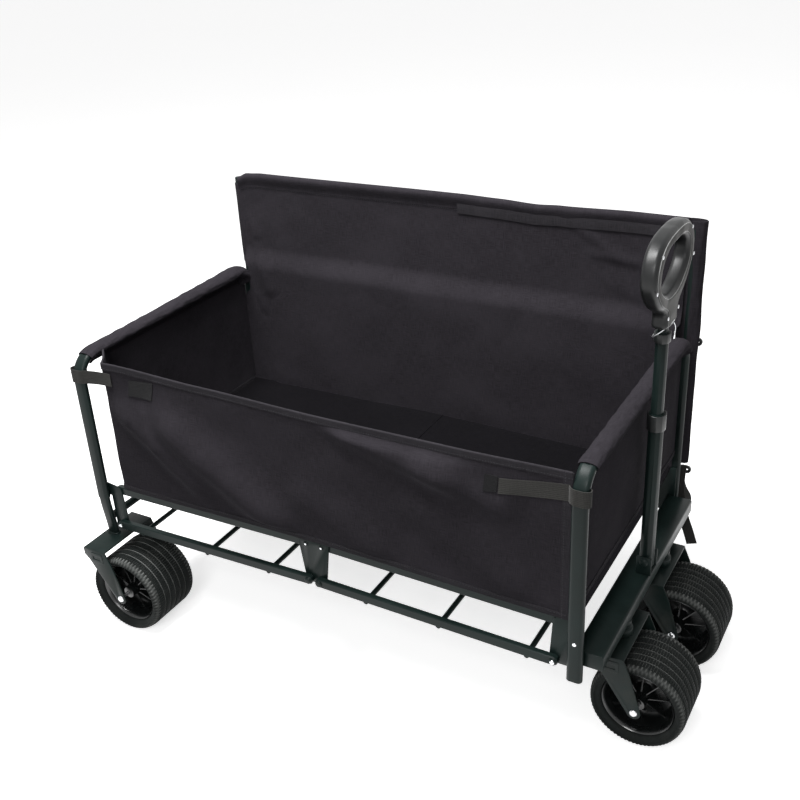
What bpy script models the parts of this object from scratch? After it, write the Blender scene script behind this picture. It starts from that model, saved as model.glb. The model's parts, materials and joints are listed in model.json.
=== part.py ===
# Folding wagon: two upright end frames joined by side rails that fold up at a centre bracket,
# rear wheels on fixed hoods, front wheels on swivelling hoods, a basket of cloth panels with a
# tall back, and a telescoping pull handle. Metres, +X is the front, +Z is up.
import math

import bmesh
import bpy
from mathutils import Matrix, Vector

for obj in list(bpy.data.objects):
    bpy.data.objects.remove(obj)

WAGON = bpy.data.collections.new("folding_wagon")
CUTTERS = bpy.data.collections.new("cutters")
for collection in (WAGON, CUTTERS):
    bpy.context.scene.collection.children.link(collection)

# End frames: one flat-oval tube bent into an upside-down U
POST_X = 0.518            # centre of each frame, from the middle of the wagon
POST_Y = 0.275            # centre of each post, from the middle of the wagon
TUBE_W = 0.028            # tube size along X
TUBE_D = 0.015            # tube size across
TOP_Z = 0.605             # centre of the top bar
BEND_R = 0.045            # bend between a post and the top bar
REAR_POST_Z = 0.290       # lower end of the rear posts, above the rear legs
FRONT_POST_Z = 0.203      # lower end of the front posts
LEG_W = 0.025             # rear leg, a smaller tube out of each rear post
LEG_D = 0.012
LEG_FOOT_Y = 0.268        # middle of a leg where it meets its hood

# Wheels
WHEEL_R = 0.0875
TYRE_W = 0.125
TYRE_H = 0.0265           # height of the tyre over its rim
RIM_R = WHEEL_R - TYRE_H  # outside of the rim, inside of the tyre
RIBS = 8                  # ribs on each face of a rim
AXLE_R = 0.004
REAR_TRACK = 0.265        # middle of a rear wheel, from the middle of the wagon
FRONT_TRACK = 0.1155      # middle of a front wheel
RAKE = 0.050              # wheel axle ahead of the middle of its hood

# Hoods: folded steel plate over each wheel
HOOD_GAP = 0.008          # between a tyre and each arm
HOOD_L = 0.060            # length of the top plate
HOOD_T = 0.003            # plate thickness
HOOD_W = TYRE_W + 2 * (HOOD_GAP + HOOD_T)   # outside of the arms
HOOD_RISE = 0.022         # upper face of the top plate, above the top of the tyre
HOOD_Z = 2 * WHEEL_R + HOOD_RISE
HOOD_LIP = 0.017          # down-turned back edge
ARM_END_R = 0.013         # round end of an arm, at the axle
REAR_CROSS_Z = 0.236      # tube between the rear legs
REAR_CROSS_R = 0.008
REAR_HOOD_X = -0.510
FRONT_HOOD_X = 0.5473

# Side rails and the pivots that they fold on
RAIL_H = 0.018
RAIL_T = 0.012
RAIL_EDGE = 0.0016        # chamfer along a rail
LOW_Y = 0.2735            # lower rails lie outside, upper rails inside
HIGH_Y = 0.2579
LOW_END = (0.480, 0.231)  # lower pivot on an end frame, X and Z
LOW_MID = (0.012, 0.240)  # lower pivot on the centre bracket
HIGH_SHIFT = (0.005, 0.075)   # from a lower pivot to the upper one
PIN_R = 0.004
CLEAR = 0.0003            # gap left at each seat
PLATE_T = 0.003
CROSS_R = 0.005           # cross bars under the lower rails
CROSS_X = (0.110, 0.260, 0.430)

# Front beam and the pull handle
BEAM_H = 0.030
BEAM_W = 0.052
BEAM_X = 0.537            # middle of the beam
BEAM_Z = 0.243            # middle of the beam
KINGPIN_R = 0.009
HANDLE_X = 0.5510
HANDLE_PIVOT_Z = 0.284
OUTER_TUBE_TOP = 0.585
MIDDLE_TUBE_FOOT = 0.445
MIDDLE_TUBE_TOP = 0.735
TUBE_PLUG = 0.006         # end plug in the foot of the middle tube
INNER_LIFT = 0.004        # foot of the inner tube above that plug
INNER_TUBE_TOP = 0.768
HANDLE_Y = 0.030          # size of the outer handle tube across the wagon
HANDLE_D = 0.026          # and along X
HANDLE_WALL = 0.002
GRIP_Z = 0.748            # lower end of the grip
GRIP_H = 0.168            # height of the grip
GRIP_HALF = 0.102         # half of its width
GRIP_T = 0.028
GRIP_EDGE = 0.007         # rounding of its edges

# Cloth
CLOTH_T = 0.004
FLOOR_T = 0.006
BACK_TOP = 0.832          # top of the tall back
STANCHION_R = 0.008       # uprights behind the tall back
PANEL_TOP = 0.601         # top of the near side panel
PANEL_FOOT = 0.318        # lower edge of the near and rear panels
FRONT_FOOT = 0.352        # lower edge of the front panel
NEAR_GAP = 0.061          # between the rear post and the near side panel
NEAR_EDGE = POST_X - NEAR_GAP
BACK_FOOT = 0.3325        # lower edge of the tall back
BACK_BEND = 0.617         # height at which it steps out over the posts
STANCHION_FOOT = 0.360


def principled(name, colour, roughness, metallic=0.0):
    mat = bpy.data.materials.new(name)
    mat.use_nodes = True
    bsdf = mat.node_tree.nodes["Principled BSDF"]
    bsdf.inputs["Base Color"].default_value = (*colour, 1.0)
    bsdf.inputs["Roughness"].default_value = roughness
    bsdf.inputs["Metallic"].default_value = metallic
    return mat


POWDER = principled("powder_coat", (0.018, 0.026, 0.024), 0.42, 0.2)
ZINC = principled("zinc_steel", (0.62, 0.63, 0.64), 0.32, 1.0)
TYRE = principled("tyre_rubber", (0.020, 0.022, 0.023), 0.72)
RIM = principled("rim_plastic", (0.014, 0.016, 0.017), 0.38)
CLOTH = principled("black_cloth", (0.024, 0.022, 0.028), 0.90)
GRIP = principled("grip_plastic", (0.060, 0.062, 0.062), 0.48)
PLASTIC = principled("black_plastic", (0.020, 0.021, 0.022), 0.45)


def finish(bm, name, material, smooth=35.0):
    """Turn a bmesh into an object whose faces point outwards."""
    bmesh.ops.remove_doubles(bm, verts=bm.verts, dist=1e-6)
    bmesh.ops.recalc_face_normals(bm, faces=bm.faces)
    if bm.calc_volume(signed=True) < 0:
        bmesh.ops.reverse_faces(bm, faces=bm.faces)
    mesh = bpy.data.meshes.new(name)
    bm.to_mesh(mesh)
    bm.free()
    obj = bpy.data.objects.new(name, mesh)
    WAGON.objects.link(obj)
    if material:
        mesh.materials.append(material)
    mesh.shade_smooth()
    mesh.set_sharp_from_angle(angle=math.radians(smooth))
    return obj


def arc(centre, radius, start, end, steps):
    """Points of an arc, angles in degrees."""
    points = []
    for i in range(steps + 1):
        a = math.radians(start + (end - start) * i / steps)
        points.append((centre[0] + radius * math.cos(a), centre[1] + radius * math.sin(a)))
    return points


def circle(centre, radius, steps=20):
    return arc(centre, radius, 0, 360 - 360 / steps, steps - 1)


def stadium(a, b, radius, steps=4):
    """Outline of a bar with round ends, between two points."""
    turn = math.degrees(math.atan2(b[1] - a[1], b[0] - a[0]))
    return (arc(b, radius, turn - 90, turn + 90, steps)
            + arc(a, radius, turn + 90, turn + 270, steps))


def flat_oval(width, depth, steps=4):
    """Tube section: straight along its width, with round edges."""
    half = (width - depth) / 2
    return (arc((half, 0), depth / 2, -90, 90, steps)
            + arc((-half, 0), depth / 2, 90, 270, steps))


def spline(points, steps=6, closed=True):
    """Catmull-Rom curve through a few control points."""
    count = len(points)
    out = []
    for i in range(count if closed else count - 1):
        p = [Vector(points[(i + k) % count] if closed
                    else points[min(max(i + k, 0), count - 1)]) for k in (-1, 0, 1, 2)]
        for s in range(steps):
            t = s / steps
            out.append(tuple(0.5 * ((2 * p[1]) + (p[2] - p[0]) * t
                                    + (2 * p[0] - 5 * p[1] + 4 * p[2] - p[3]) * t * t
                                    + (3 * p[1] - p[0] - 3 * p[2] + p[3]) * t ** 3)))
    if not closed:
        out.append(tuple(points[-1]))
    return out


def settle(obj, material, smooth=35.0):
    """Turn a curve or a modified object into a plain welded mesh, in place."""
    bpy.context.view_layer.update()
    graph = bpy.context.evaluated_depsgraph_get()
    bm = bmesh.new()
    mesh = bpy.data.meshes.new_from_object(obj.evaluated_get(graph))
    bm.from_mesh(mesh)
    bm.transform(obj.matrix_world)
    name = obj.name
    bpy.data.objects.remove(obj)
    bpy.data.meshes.remove(mesh)
    return finish(bm, name, material, smooth)


def flat_piece(name, loops, thickness, place, material, bevel=0.0, segments=1):
    """Flat outline with holes, a 2D curve given a thickness and rounded edges."""
    curve = bpy.data.curves.new(name, "CURVE")
    curve.dimensions = "2D"
    curve.fill_mode = "BOTH"
    curve.extrude = thickness / 2 - bevel
    curve.bevel_depth = bevel
    curve.bevel_resolution = segments - 1
    curve.offset = -bevel
    for loop in loops:
        outline = curve.splines.new("POLY")
        outline.points.add(len(loop) - 1)
        for point, (u, v) in zip(outline.points, loop):
            point.co = (u, v, 0.0, 1.0)
        outline.use_cyclic_u = True
    obj = bpy.data.objects.new(name, curve)
    WAGON.objects.link(obj)
    obj.matrix_world = place
    return settle(obj, material)


def side_on(y):
    """Outline drawn in X and Z, thickness along Y."""
    return Matrix(((1, 0, 0, 0), (0, 0, -1, y), (0, 1, 0, 0), (0, 0, 0, 1)))


def end_on(x):
    """Outline drawn in Y and Z, thickness along X."""
    return Matrix(((0, 0, 1, x), (1, 0, 0, 0), (0, 1, 0, 0), (0, 0, 0, 1)))


def flat_on(x, z):
    """Outline drawn in X and Y, thickness along Z."""
    return Matrix.Translation((x, 0, z))


def revolve(name, profile, centre, axis, material, steps=40, smooth=35.0):
    """Outline of (radius, along) points, turned round an axis by a Screw modifier."""
    turn = {"x": Matrix.Rotation(math.pi / 2, 4, "Y"), "y": Matrix.Rotation(-math.pi / 2, 4, "X"),
            "z": Matrix.Identity(4)}[axis]
    count = len(profile)
    edges = [(i, i + 1) for i in range(count - 1)]
    if profile[0][0] > 0:
        edges.append((count - 1, 0))
    mesh = bpy.data.meshes.new(name)
    mesh.from_pydata([(radius, 0, along) for radius, along in profile], edges, [])
    obj = bpy.data.objects.new(name, mesh)
    WAGON.objects.link(obj)
    obj.matrix_world = Matrix.Translation(centre) @ turn
    screw = obj.modifiers.new("turned", "SCREW")
    screw.angle = 2 * math.pi
    screw.steps = screw.render_steps = steps
    screw.use_merge_vertices = True
    screw.merge_threshold = 1e-6
    return settle(obj, material, smooth)


def pin_profile(radius, start, end, head=0.0, head_h=0.0):
    """Round pin with a low domed head at each end where head is given."""
    if not head:
        return [(0, start), (radius, start), (radius, end), (0, end)]
    return [(0, start - head_h), (head * 0.7, start - head_h * 0.8), (head, start),
            (radius, start), (radius, end),
            (head, end), (head * 0.7, end + head_h * 0.8), (0, end + head_h)]


def outline_curve(name, loop):
    curve = bpy.data.curves.new(name, "CURVE")
    line = curve.splines.new("POLY")
    line.points.add(len(loop) - 1)
    for point, place in zip(line.points, loop):
        point.co = (*place, 1.0) if len(place) == 3 else (*place, 0.0, 1.0)
    return curve


def sweep(name, path, section, material):
    """Tube: a curve along a path, bevelled with its section and closed by filled caps.
    The section's first direction lies along X for an upright path."""
    shape = outline_curve(name + "_section", section)
    shape.splines[0].use_cyclic_u = True
    profile = bpy.data.objects.new(name + "_section", shape)
    curve = outline_curve(name, path)
    curve.dimensions = "3D"
    curve.twist_mode = "MINIMUM"
    curve.bevel_mode = "OBJECT"
    curve.bevel_object = profile
    curve.use_fill_caps = True
    obj = bpy.data.objects.new(name, curve)
    WAGON.objects.link(obj)
    WAGON.objects.link(profile)
    tube = settle(obj, material)
    bpy.data.objects.remove(profile)
    return tube


def cylinder(name, radius, length, centre, material, steps=16):
    """Round bar along Y."""
    bm = bmesh.new()
    place = Matrix.Translation(centre) @ Matrix.Rotation(math.pi / 2, 4, "X")
    bmesh.ops.create_cone(bm, cap_ends=True, segments=steps, radius1=radius, radius2=radius,
                          depth=length, matrix=place)
    return finish(bm, name, material)


def boolean(target, cutter, operation):
    """Join or cut with another solid, which is kept as a hidden helper."""
    mod = target.modifiers.new(cutter.name, "BOOLEAN")
    mod.operation = operation
    mod.object = cutter
    mod.solver = "EXACT"
    cutter.hide_render = True
    cutter.display_type = "WIRE"
    cutter.parent = target
    WAGON.objects.unlink(cutter)
    CUTTERS.objects.link(cutter)
    return target


def carry(name, centre, pieces, carrier=None):
    """Empty on a joint's axis that carries the pieces of one moving group."""
    empty = bpy.data.objects.new(name, None)
    empty.empty_display_size = 0.05
    empty.location = centre
    WAGON.objects.link(empty)
    if carrier:
        empty.parent = carrier
        empty.matrix_parent_inverse = carrier.matrix_world.inverted()
    bpy.context.view_layer.update()
    for piece in pieces:
        obj = bpy.data.objects[piece]
        obj.parent = empty
        obj.matrix_parent_inverse = empty.matrix_world.inverted()
    return empty


def end_frame(name, x, foot):
    """Flat-oval tube up one side, across the top and down the other."""
    inner = POST_Y - BEND_R
    path = [(x, -POST_Y, foot)]
    path += [(x, y, z) for y, z in arc((-inner, TOP_Z - BEND_R), BEND_R, 180, 90, 6)]
    path += [(x, y, z) for y, z in arc((inner, TOP_Z - BEND_R), BEND_R, 90, 0, 6)]
    path.append((x, POST_Y, foot))
    return sweep(name, path, flat_oval(TUBE_W, TUBE_D), POWDER)


def leg_y(z):
    """Middle of a rear leg at height z: it bends in from the post to the hood."""
    t = (REAR_POST_Z - z) / (REAR_POST_Z - HOOD_Z)
    return POST_Y + (LEG_FOOT_Y - POST_Y) * t * t * (3 - 2 * t)


def rear_leg(name, side):
    """Slightly bent leg from the end of a rear post to its hood."""
    path = []
    for i in range(7):
        z = REAR_POST_Z - CLEAR + (HOOD_Z - REAR_POST_Z + 2 * CLEAR) * i / 6
        path.append((-POST_X, side * leg_y(z), z))
    return sweep(name, path, flat_oval(LEG_W, LEG_D), POWDER)


def tyre(name, x, y):
    """Wide tyre with a flat crown, round shoulders and sides that pull in to the rim."""
    half = TYRE_W / 2
    seat = half - 0.012
    r = WHEEL_R
    crown = [(RIM_R, -seat), (RIM_R + 0.006, -seat - 0.006), (r - 0.009, -half),
             (r - 0.003, -half + 0.004), (r, -half + 0.016), (r, half - 0.016),
             (r - 0.003, half - 0.004), (r - 0.009, half), (RIM_R + 0.006, seat + 0.006),
             (RIM_R, seat)]
    return revolve(name, crown, (x, y, WHEEL_R), "y", TYRE, steps=32, smooth=40)


def rim(name, x, y):
    """Moulded rim: a barrel with a web and hub, stiffened by ribs on both faces."""
    half = TYRE_W / 2
    seat = half - 0.012
    bore = AXLE_R + CLEAR
    wall = RIM_R - CLEAR
    barrel = [(bore, -half + 0.012), (0.013, -half + 0.012), (0.017, -0.004),
              (wall - 0.010, -0.003), (wall - 0.006, -seat), (wall, -seat), (wall, seat),
              (wall - 0.006, seat), (wall - 0.010, 0.003), (0.017, 0.004),
              (0.013, half - 0.012), (bore, half - 0.012)]
    body = revolve(name, barrel, (x, y, WHEEL_R), "y", RIM, steps=20)
    ribs = bmesh.new()
    for k in range(RIBS):
        turn = Matrix.Rotation(2 * math.pi * (k + 0.5) / RIBS, 4, "Y")
        corners = [(0.0135, -0.030), (wall - 0.007, -0.014), (wall - 0.007, 0.014), (0.0135, 0.030)]
        sides = []
        for w in (-0.0014, 0.0014):
            sides.append([ribs.verts.new(turn @ Vector((w, across, radius)))
                          for radius, across in corners])
        ribs.faces.new(sides[0])
        ribs.faces.new(sides[1][::-1])
        for i in range(4):
            j = (i + 1) % 4
            ribs.faces.new((sides[0][i], sides[0][j], sides[1][j], sides[1][i]))
    bmesh.ops.translate(ribs, verts=ribs.verts, vec=(x, y, WHEEL_R))
    return boolean(body, finish(ribs, name + "_ribs", RIM), "UNION")


def hood(name, x, y, stem_r):
    """Folded plate: top plate, down-turned back edge and two raked arms to the axle."""
    back, front = x - HOOD_L / 2, x + HOOD_L / 2
    axle = (x + RAKE, WHEEL_R)
    low = HOOD_Z - HOOD_LIP
    outline = [(back, HOOD_Z - 0.002), (back, low), (back + 0.012, low - 0.012)]
    outline += arc(axle, ARM_END_R, 200, 385, 8)
    outline += [(front + 0.010, low - 0.014), (front, HOOD_Z - 0.008), (front - 0.003, HOOD_Z)]
    outline += [(back + 0.002, HOOD_Z)]
    shape = flat_piece(name, [outline], HOOD_W, side_on(y), POWDER)
    inside = bmesh.new()
    bmesh.ops.create_cube(inside, size=1.0)
    size = Vector((0.2, HOOD_W - 2 * HOOD_T, 0.2))
    middle = Vector((back + HOOD_T + 0.1, y, HOOD_Z - HOOD_T - 0.1))
    for vert in inside.verts:
        vert.co = Vector((vert.co[i] * size[i] for i in range(3))) + middle
    boolean(shape, finish(inside, name + "_inside", None), "DIFFERENCE")
    bore = revolve(name + "_axle_hole", pin_profile(AXLE_R + CLEAR, -0.2, 0.2),
                   (axle[0], y, axle[1]), "y", None, steps=16)
    boolean(shape, bore, "DIFFERENCE")
    if stem_r:
        hole = revolve(name + "_stem_hole", pin_profile(stem_r, -0.02, 0.02),
                       (x, y, HOOD_Z), "z", None, steps=20)
        boolean(shape, hole, "DIFFERENCE")
    return shape


def axle(name, x, y):
    """Axle pin with a domed rivet head outside each arm."""
    half = HOOD_W / 2 + CLEAR
    return revolve(name, pin_profile(AXLE_R, -half, half, head=0.0075, head_h=0.003),
                   (x, y, WHEEL_R), "y", ZINC, steps=12)


def wheel_set(prefix, x, y):
    centre = x + RAKE
    return (tyre(prefix + "_tyre", centre, y), rim(prefix + "_rim", centre, y),
            axle(prefix + "_axle", centre, y))


def pivot_points(end):
    """Lower and upper pivots on an end frame and on the centre bracket."""
    low_end = (end * LOW_END[0], LOW_END[1])
    low_mid = (end * LOW_MID[0], LOW_MID[1])
    high_end = (low_end[0] + end * HIGH_SHIFT[0], low_end[1] + HIGH_SHIFT[1])
    high_mid = (low_mid[0] + end * HIGH_SHIFT[0], low_mid[1] + HIGH_SHIFT[1])
    return low_end, low_mid, high_end, high_mid


def rail(name, a, b, y):
    """Side rail with round ends and a pin hole at each."""
    bar = flat_piece(name, [stadium(a, b, RAIL_H / 2)], RAIL_T, side_on(y), POWDER, bevel=RAIL_EDGE)
    for i, (px, pz) in enumerate((a, b)):
        hole = cylinder("%s_hole_%d" % (name, i + 1), PIN_R + CLEAR, 2 * RAIL_T, (px, y, pz), None, 12)
        boolean(bar, hole, "DIFFERENCE")
    return bar


def base_frame(name, end):
    """Near and far lower rails with the cross bars that hold them apart."""
    low_end, low_mid, _, _ = pivot_points(end)
    near = rail(name, low_end, low_mid, -LOW_Y)
    far = rail(name + "_far_rail", low_end, low_mid, LOW_Y)
    boolean(near, far, "UNION")
    for i, distance in enumerate(CROSS_X):
        t = (distance - LOW_MID[0]) / (LOW_END[0] - LOW_MID[0])
        z = LOW_MID[1] + (LOW_END[1] - LOW_MID[1]) * t - RAIL_H / 2 - CROSS_R + 0.002
        bar = cylinder("%s_bar_%d" % (name, i + 1), CROSS_R, 2 * LOW_Y, (end * distance, 0, z),
                       POWDER, 12)
        boolean(near, bar, "UNION")
    return near


def riveted_plate(name, outline, side, pins):
    """Bracket plate with the rivets that the rails turn on. pins are (x, z, outward, back head)."""
    y = side * ((LOW_Y - RAIL_T / 2 + HIGH_Y + RAIL_T / 2) / 2)
    plate = flat_piece(name, [outline], PLATE_T, side_on(y), POWDER)
    reach = PLATE_T / 2 + RAIL_T + 3 * CLEAR
    for i, (px, pz, outward, back_head) in enumerate(pins):
        way = side if outward else -side
        profile = [(0, 0), (PIN_R, 0)]
        if back_head:
            profile = [(0, -PLATE_T / 2 - 0.0022), (0.0038, -PLATE_T / 2 - 0.0022),
                       (0.0055, -PLATE_T / 2 - 0.0008), (0.0055, 0), (PIN_R, 0)]
        profile += [(PIN_R, reach + CLEAR), (0.0075, reach + CLEAR),
                    (0.0050, reach + 0.0026), (0, reach + 0.0026)]
        if way < 0:
            profile = [(r, -a) for r, a in profile]
        stub = revolve("%s_rivet_%d" % (name, i + 1), profile, (px, y, pz), "y", ZINC, steps=10)
        boolean(plate, stub, "UNION")
    return plate


def post_ear(name, end, side):
    """Plate riveted to the inner face of a post, with the two pivots of that corner."""
    low, _, high, _ = pivot_points(end)
    lap = end * (POST_X + 0.009)
    post = end * (POST_X - TUBE_W / 2)
    reach = 0.011
    inward = 180 if end > 0 else 0
    outline = [(lap, low[1] - reach)]
    if end < 0:
        outline = [(post, low[1] - reach), (post, REAR_POST_Z + 0.002), (lap, REAR_POST_Z + 0.002)]
    outline += [(lap, high[1] + reach + 0.006)]
    outline += arc(high, reach, 90, inward, 4)
    outline += arc(low, reach, inward, 270 if end > 0 else -90, 4)
    return riveted_plate(name, outline, side,
                         [(low[0], low[1], True, False), (high[0], high[1], False, False)])


def centre_bracket(name, side):
    """Trapezoid plate in the middle of a side, with four pivots."""
    _, low_r, _, high_r = pivot_points(-1)
    _, low_f, _, high_f = pivot_points(1)
    outline = [(high_r[0] - 0.017, high_r[1] + 0.010), (low_r[0] - 0.010, low_r[1] - 0.010),
               (low_f[0] + 0.010, low_f[1] - 0.010), (high_f[0] + 0.017, high_f[1] + 0.010)]
    pins = [(low_r[0], low_r[1], True, False), (low_f[0], low_f[1], True, False),
            (high_r[0], high_r[1], False, True), (high_f[0], high_f[1], False, True)]
    return riveted_plate(name, outline, side, pins)


def floor_half(name, end):
    """Stiff floor board sewn into the cloth, lying on the upper rails."""
    _, _, high_end, high_mid = pivot_points(end)
    width = 2 * (POST_Y - TUBE_D / 2 - CLOTH_T - 2 * CLEAR)
    slope = (high_end[1] - high_mid[1]) / abs(high_end[0] - high_mid[0])
    inner, outer = 0.003, abs(high_end[0]) + 0.016
    corners = []
    for distance, layer in ((inner, 0), (outer, 0), (outer, 1), (inner, 1)):
        z = high_mid[1] + slope * (distance - abs(high_mid[0]))
        corners.append((end * distance, z + RAIL_H / 2 + CLEAR + layer * FLOOR_T))
    return flat_piece(name, [corners], width, side_on(0), CLOTH)


def end_panel(name, x, bottom):
    """Cloth end wall that hangs inside an end frame."""
    half = POST_Y - TUBE_D / 2 - CLEAR
    top = TOP_Z - TUBE_D / 2 - CLEAR
    r = BEND_R - TUBE_D / 2
    outline = [(-half, bottom + 0.010), (-half + 0.010, bottom), (half - 0.010, bottom)]
    outline += [(half, bottom + 0.010)]
    outline += arc((half - r, top - r), r, 0, 90, 6) + arc((-half + r, top - r), r, 90, 180, 6)
    return flat_piece(name, [outline], CLOTH_T, end_on(x), CLOTH)


def near_panel(name):
    """Long low side wall between the posts, with a slight sag along its top edge."""
    y = -(LOW_Y - RAIL_T / 2 + CLEAR + CLOTH_T / 2)
    front = POST_X - TUBE_W / 2 - CLEAR
    top = spline([(0.001 - NEAR_EDGE, PANEL_TOP + 0.005), (-0.48 * NEAR_EDGE, PANEL_TOP),
                  (0.11 * NEAR_EDGE, PANEL_TOP - 0.005), (0.66 * NEAR_EDGE, PANEL_TOP - 0.004),
                  (front, PANEL_TOP + 0.001)], closed=False)
    outline = top[::-1] + [(-NEAR_EDGE - 0.001, PANEL_TOP - 0.011),
                           (0.013 - NEAR_EDGE, PANEL_FOOT + 0.027), (0.005 - NEAR_EDGE, PANEL_FOOT),
                           (0, PANEL_FOOT + 0.005), (front, PANEL_FOOT - 0.001)]
    return flat_piece(name, [outline], CLOTH_T, side_on(y), CLOTH)


def back_panel(name):
    """Tall back wall: inside the far posts below, against the stanchions above."""
    inside = POST_Y - TUBE_D / 2 - CLEAR - CLOTH_T / 2
    behind = POST_Y + TUBE_D / 2 - CLOTH_T / 2
    foot = POST_X - TUBE_W / 2 - 0.003
    wide = POST_X + 0.018
    outline = [(-foot, BACK_FOOT), (foot, BACK_FOOT), (foot, BACK_BEND - 0.002),
               (wide, BACK_BEND + 0.008), (wide + 0.003, BACK_TOP), (0.0, BACK_TOP - 0.004),
               (-wide + 0.030, BACK_TOP - 0.010), (-wide + 0.018, BACK_TOP - 0.032),
               (-wide, BACK_BEND + 0.083), (-wide, BACK_BEND + 0.008), (-foot, BACK_BEND - 0.002)]
    wall = flat_piece(name, [outline], 0.060, side_on(inside), CLOTH)
    line = [(inside, BACK_FOOT - 0.03), (inside, BACK_BEND), (behind, BACK_BEND + 0.043),
            (behind, BACK_TOP + 0.02)]
    half = CLOTH_T / 2
    section = [(y - half, z) for y, z in line] + [(y + half, z) for y, z in line[::-1]]
    bend = flat_piece(name + "_bend", [section], 1.2, end_on(0), CLOTH)
    return boolean(wall, bend, "INTERSECT")


def stanchion(name, x):
    """Upright that carries the tall back, clipped to the outside of a far post."""
    y = POST_Y + TUBE_D / 2 + CLEAR + STANCHION_R
    path = [(x, y, STANCHION_FOOT), (x, y, BACK_TOP - 0.016)]
    return sweep(name, path, circle((0, 0), STANCHION_R, 16), POWDER)


def beam(name):
    """Box beam between the front posts' ears that holds the kingpins and the handle."""
    half = POST_Y - TUBE_D / 2 - PLATE_T - 2 * CLEAR
    w, h = BEAM_W / 2, BEAM_H / 2
    section = (arc((w - 0.004, h - 0.004), 0.004, 0, 90, 3)
               + arc((-w + 0.004, h - 0.004), 0.004, 90, 180, 3)
               + arc((-w + 0.004, -h + 0.004), 0.004, 180, 270, 3)
               + arc((w - 0.004, -h + 0.004), 0.004, 270, 360, 3))
    section = [(BEAM_X + u, BEAM_Z + v) for u, v in section]
    return flat_piece(name, [section], 2 * half, side_on(0), POWDER)


def kingpin(name, y):
    """Swivel stem: washers between the beam and the hood, and a nut under the hood plate."""
    under = BEAM_Z - BEAM_H / 2 - CLEAR
    plate = HOOD_Z
    shank = KINGPIN_R - CLEAR
    profile = [(0, under), (0.016, under), (0.016, under - 0.010), (0.013, under - 0.014),
               (0.019, under - 0.016), (0.019, plate + CLEAR), (shank, plate + CLEAR),
               (shank, plate - HOOD_T - CLEAR), (0.012, plate - HOOD_T - CLEAR),
               (0.012, plate - HOOD_T - 0.0055), (0, plate - HOOD_T - 0.0055)]
    return revolve(name, profile, (FRONT_HOOD_X, y, 0), "z", ZINC, steps=16)


def handle_base(name):
    """Channel on the beam whose two cheeks hold the foot of the handle."""
    top = BEAM_Z + BEAM_H / 2 + CLEAR
    half = 0.019
    cheek = HANDLE_PIVOT_Z + 0.012
    outline = [(-half, top), (half, top), (half, cheek), (half - 0.003, cheek)]
    outline += [(half - 0.003, top + 0.003), (-half + 0.003, top + 0.003)]
    outline += [(-half + 0.003, cheek), (-half, cheek)]
    shape = flat_piece(name, [outline], 0.028, end_on(HANDLE_X), POWDER)
    pin = revolve(name + "_pin", pin_profile(PIN_R, -half, half, head=0.008, head_h=0.004),
                  (HANDLE_X, 0, HANDLE_PIVOT_Z), "y", ZINC, steps=20)
    return boolean(shape, pin, "UNION")


def wide_across(width, depth):
    """Handle tube section, wider across the wagon than along it."""
    return [(v, u) for u, v in flat_oval(width, depth, 5)]


def handle_tube(name, foot, top, inset, bore_foot=None):
    """Flat-oval handle tube, smaller than the outer one by inset, bored from the top."""
    size = (HANDLE_Y - 2 * inset, HANDLE_D - 2 * inset)
    path = [(HANDLE_X, 0, foot), (HANDLE_X, 0, top)]
    tube = sweep(name, path, wide_across(*size), POWDER)
    if bore_foot:
        path = [(HANDLE_X, 0, bore_foot), (HANDLE_X, 0, top + 0.1)]
        hollow = wide_across(size[0] - 2 * HANDLE_WALL, size[1] - 2 * HANDLE_WALL)
        boolean(tube, sweep(name + "_bore", path, hollow, None), "DIFFERENCE")
    return tube


def handle_tubes():
    """Three tubes that slide in one another, the outer one on its pivot pin."""
    step = HANDLE_WALL + CLEAR
    outer = handle_tube("handle_outer", HANDLE_PIVOT_Z - 0.012, OUTER_TUBE_TOP, 0,
                        HANDLE_PIVOT_Z + 0.020)
    hole = revolve("handle_pin_hole", pin_profile(PIN_R + CLEAR, -0.03, 0.03),
                   (HANDLE_X, 0, HANDLE_PIVOT_Z), "y", None, steps=16)
    boolean(outer, hole, "DIFFERENCE")
    bore_foot = MIDDLE_TUBE_FOOT + TUBE_PLUG
    handle_tube("handle_middle", MIDDLE_TUBE_FOOT, MIDDLE_TUBE_TOP, step, bore_foot)
    handle_tube("handle_inner", bore_foot + INNER_LIFT, INNER_TUBE_TOP, 2 * step)


def handle_collar(name, top, inset, height):
    """Plastic collar round the mouth of a tube."""
    size = (HANDLE_Y - 2 * inset + 2 * CLEAR, HANDLE_D - 2 * inset + 2 * CLEAR)
    loops = [wide_across(size[0] + wall, size[1] + wall) for wall in (0.006, 0)]
    return flat_piece(name, loops, height, flat_on(HANDLE_X, top - height / 2), PLASTIC)


def grip_loop(points, steps):
    """Closed curve through points given as shares of the grip's half width and height."""
    return spline([(y * GRIP_HALF, GRIP_Z + h * GRIP_H) for y, h in points], steps=steps)


def grip(name):
    """Loop grip, wider than tall, with a moulded neck over the inner tube."""
    right = [(0.235, 0.0), (0.294, 0.167), (0.706, 0.327), (1.0, 0.560), (0.941, 0.804), (0.608, 0.958)]
    outline = grip_loop([(0, 1.0)] + [(-y, h) for y, h in right[::-1]] + right, 3)
    right = [(0.353, 0.393), (0.706, 0.536), (0.706, 0.714), (0.412, 0.827)]
    hole = grip_loop([(0, 0.845)] + [(-y, h) for y, h in right[::-1]] + [(0, 0.357)] + right, 2)
    shape = flat_piece(name, [outline, hole], GRIP_T, end_on(HANDLE_X), GRIP, GRIP_EDGE, 2)
    path = [(HANDLE_X, 0, GRIP_Z - 0.05), (HANDLE_X, 0, INNER_TUBE_TOP + CLEAR)]
    wall = 2 * HANDLE_WALL + CLEAR
    hollow = wide_across(HANDLE_Y - 2 * wall, HANDLE_D - 2 * wall)
    return boolean(shape, sweep(name + "_bore", path, hollow, None), "DIFFERENCE")


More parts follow.
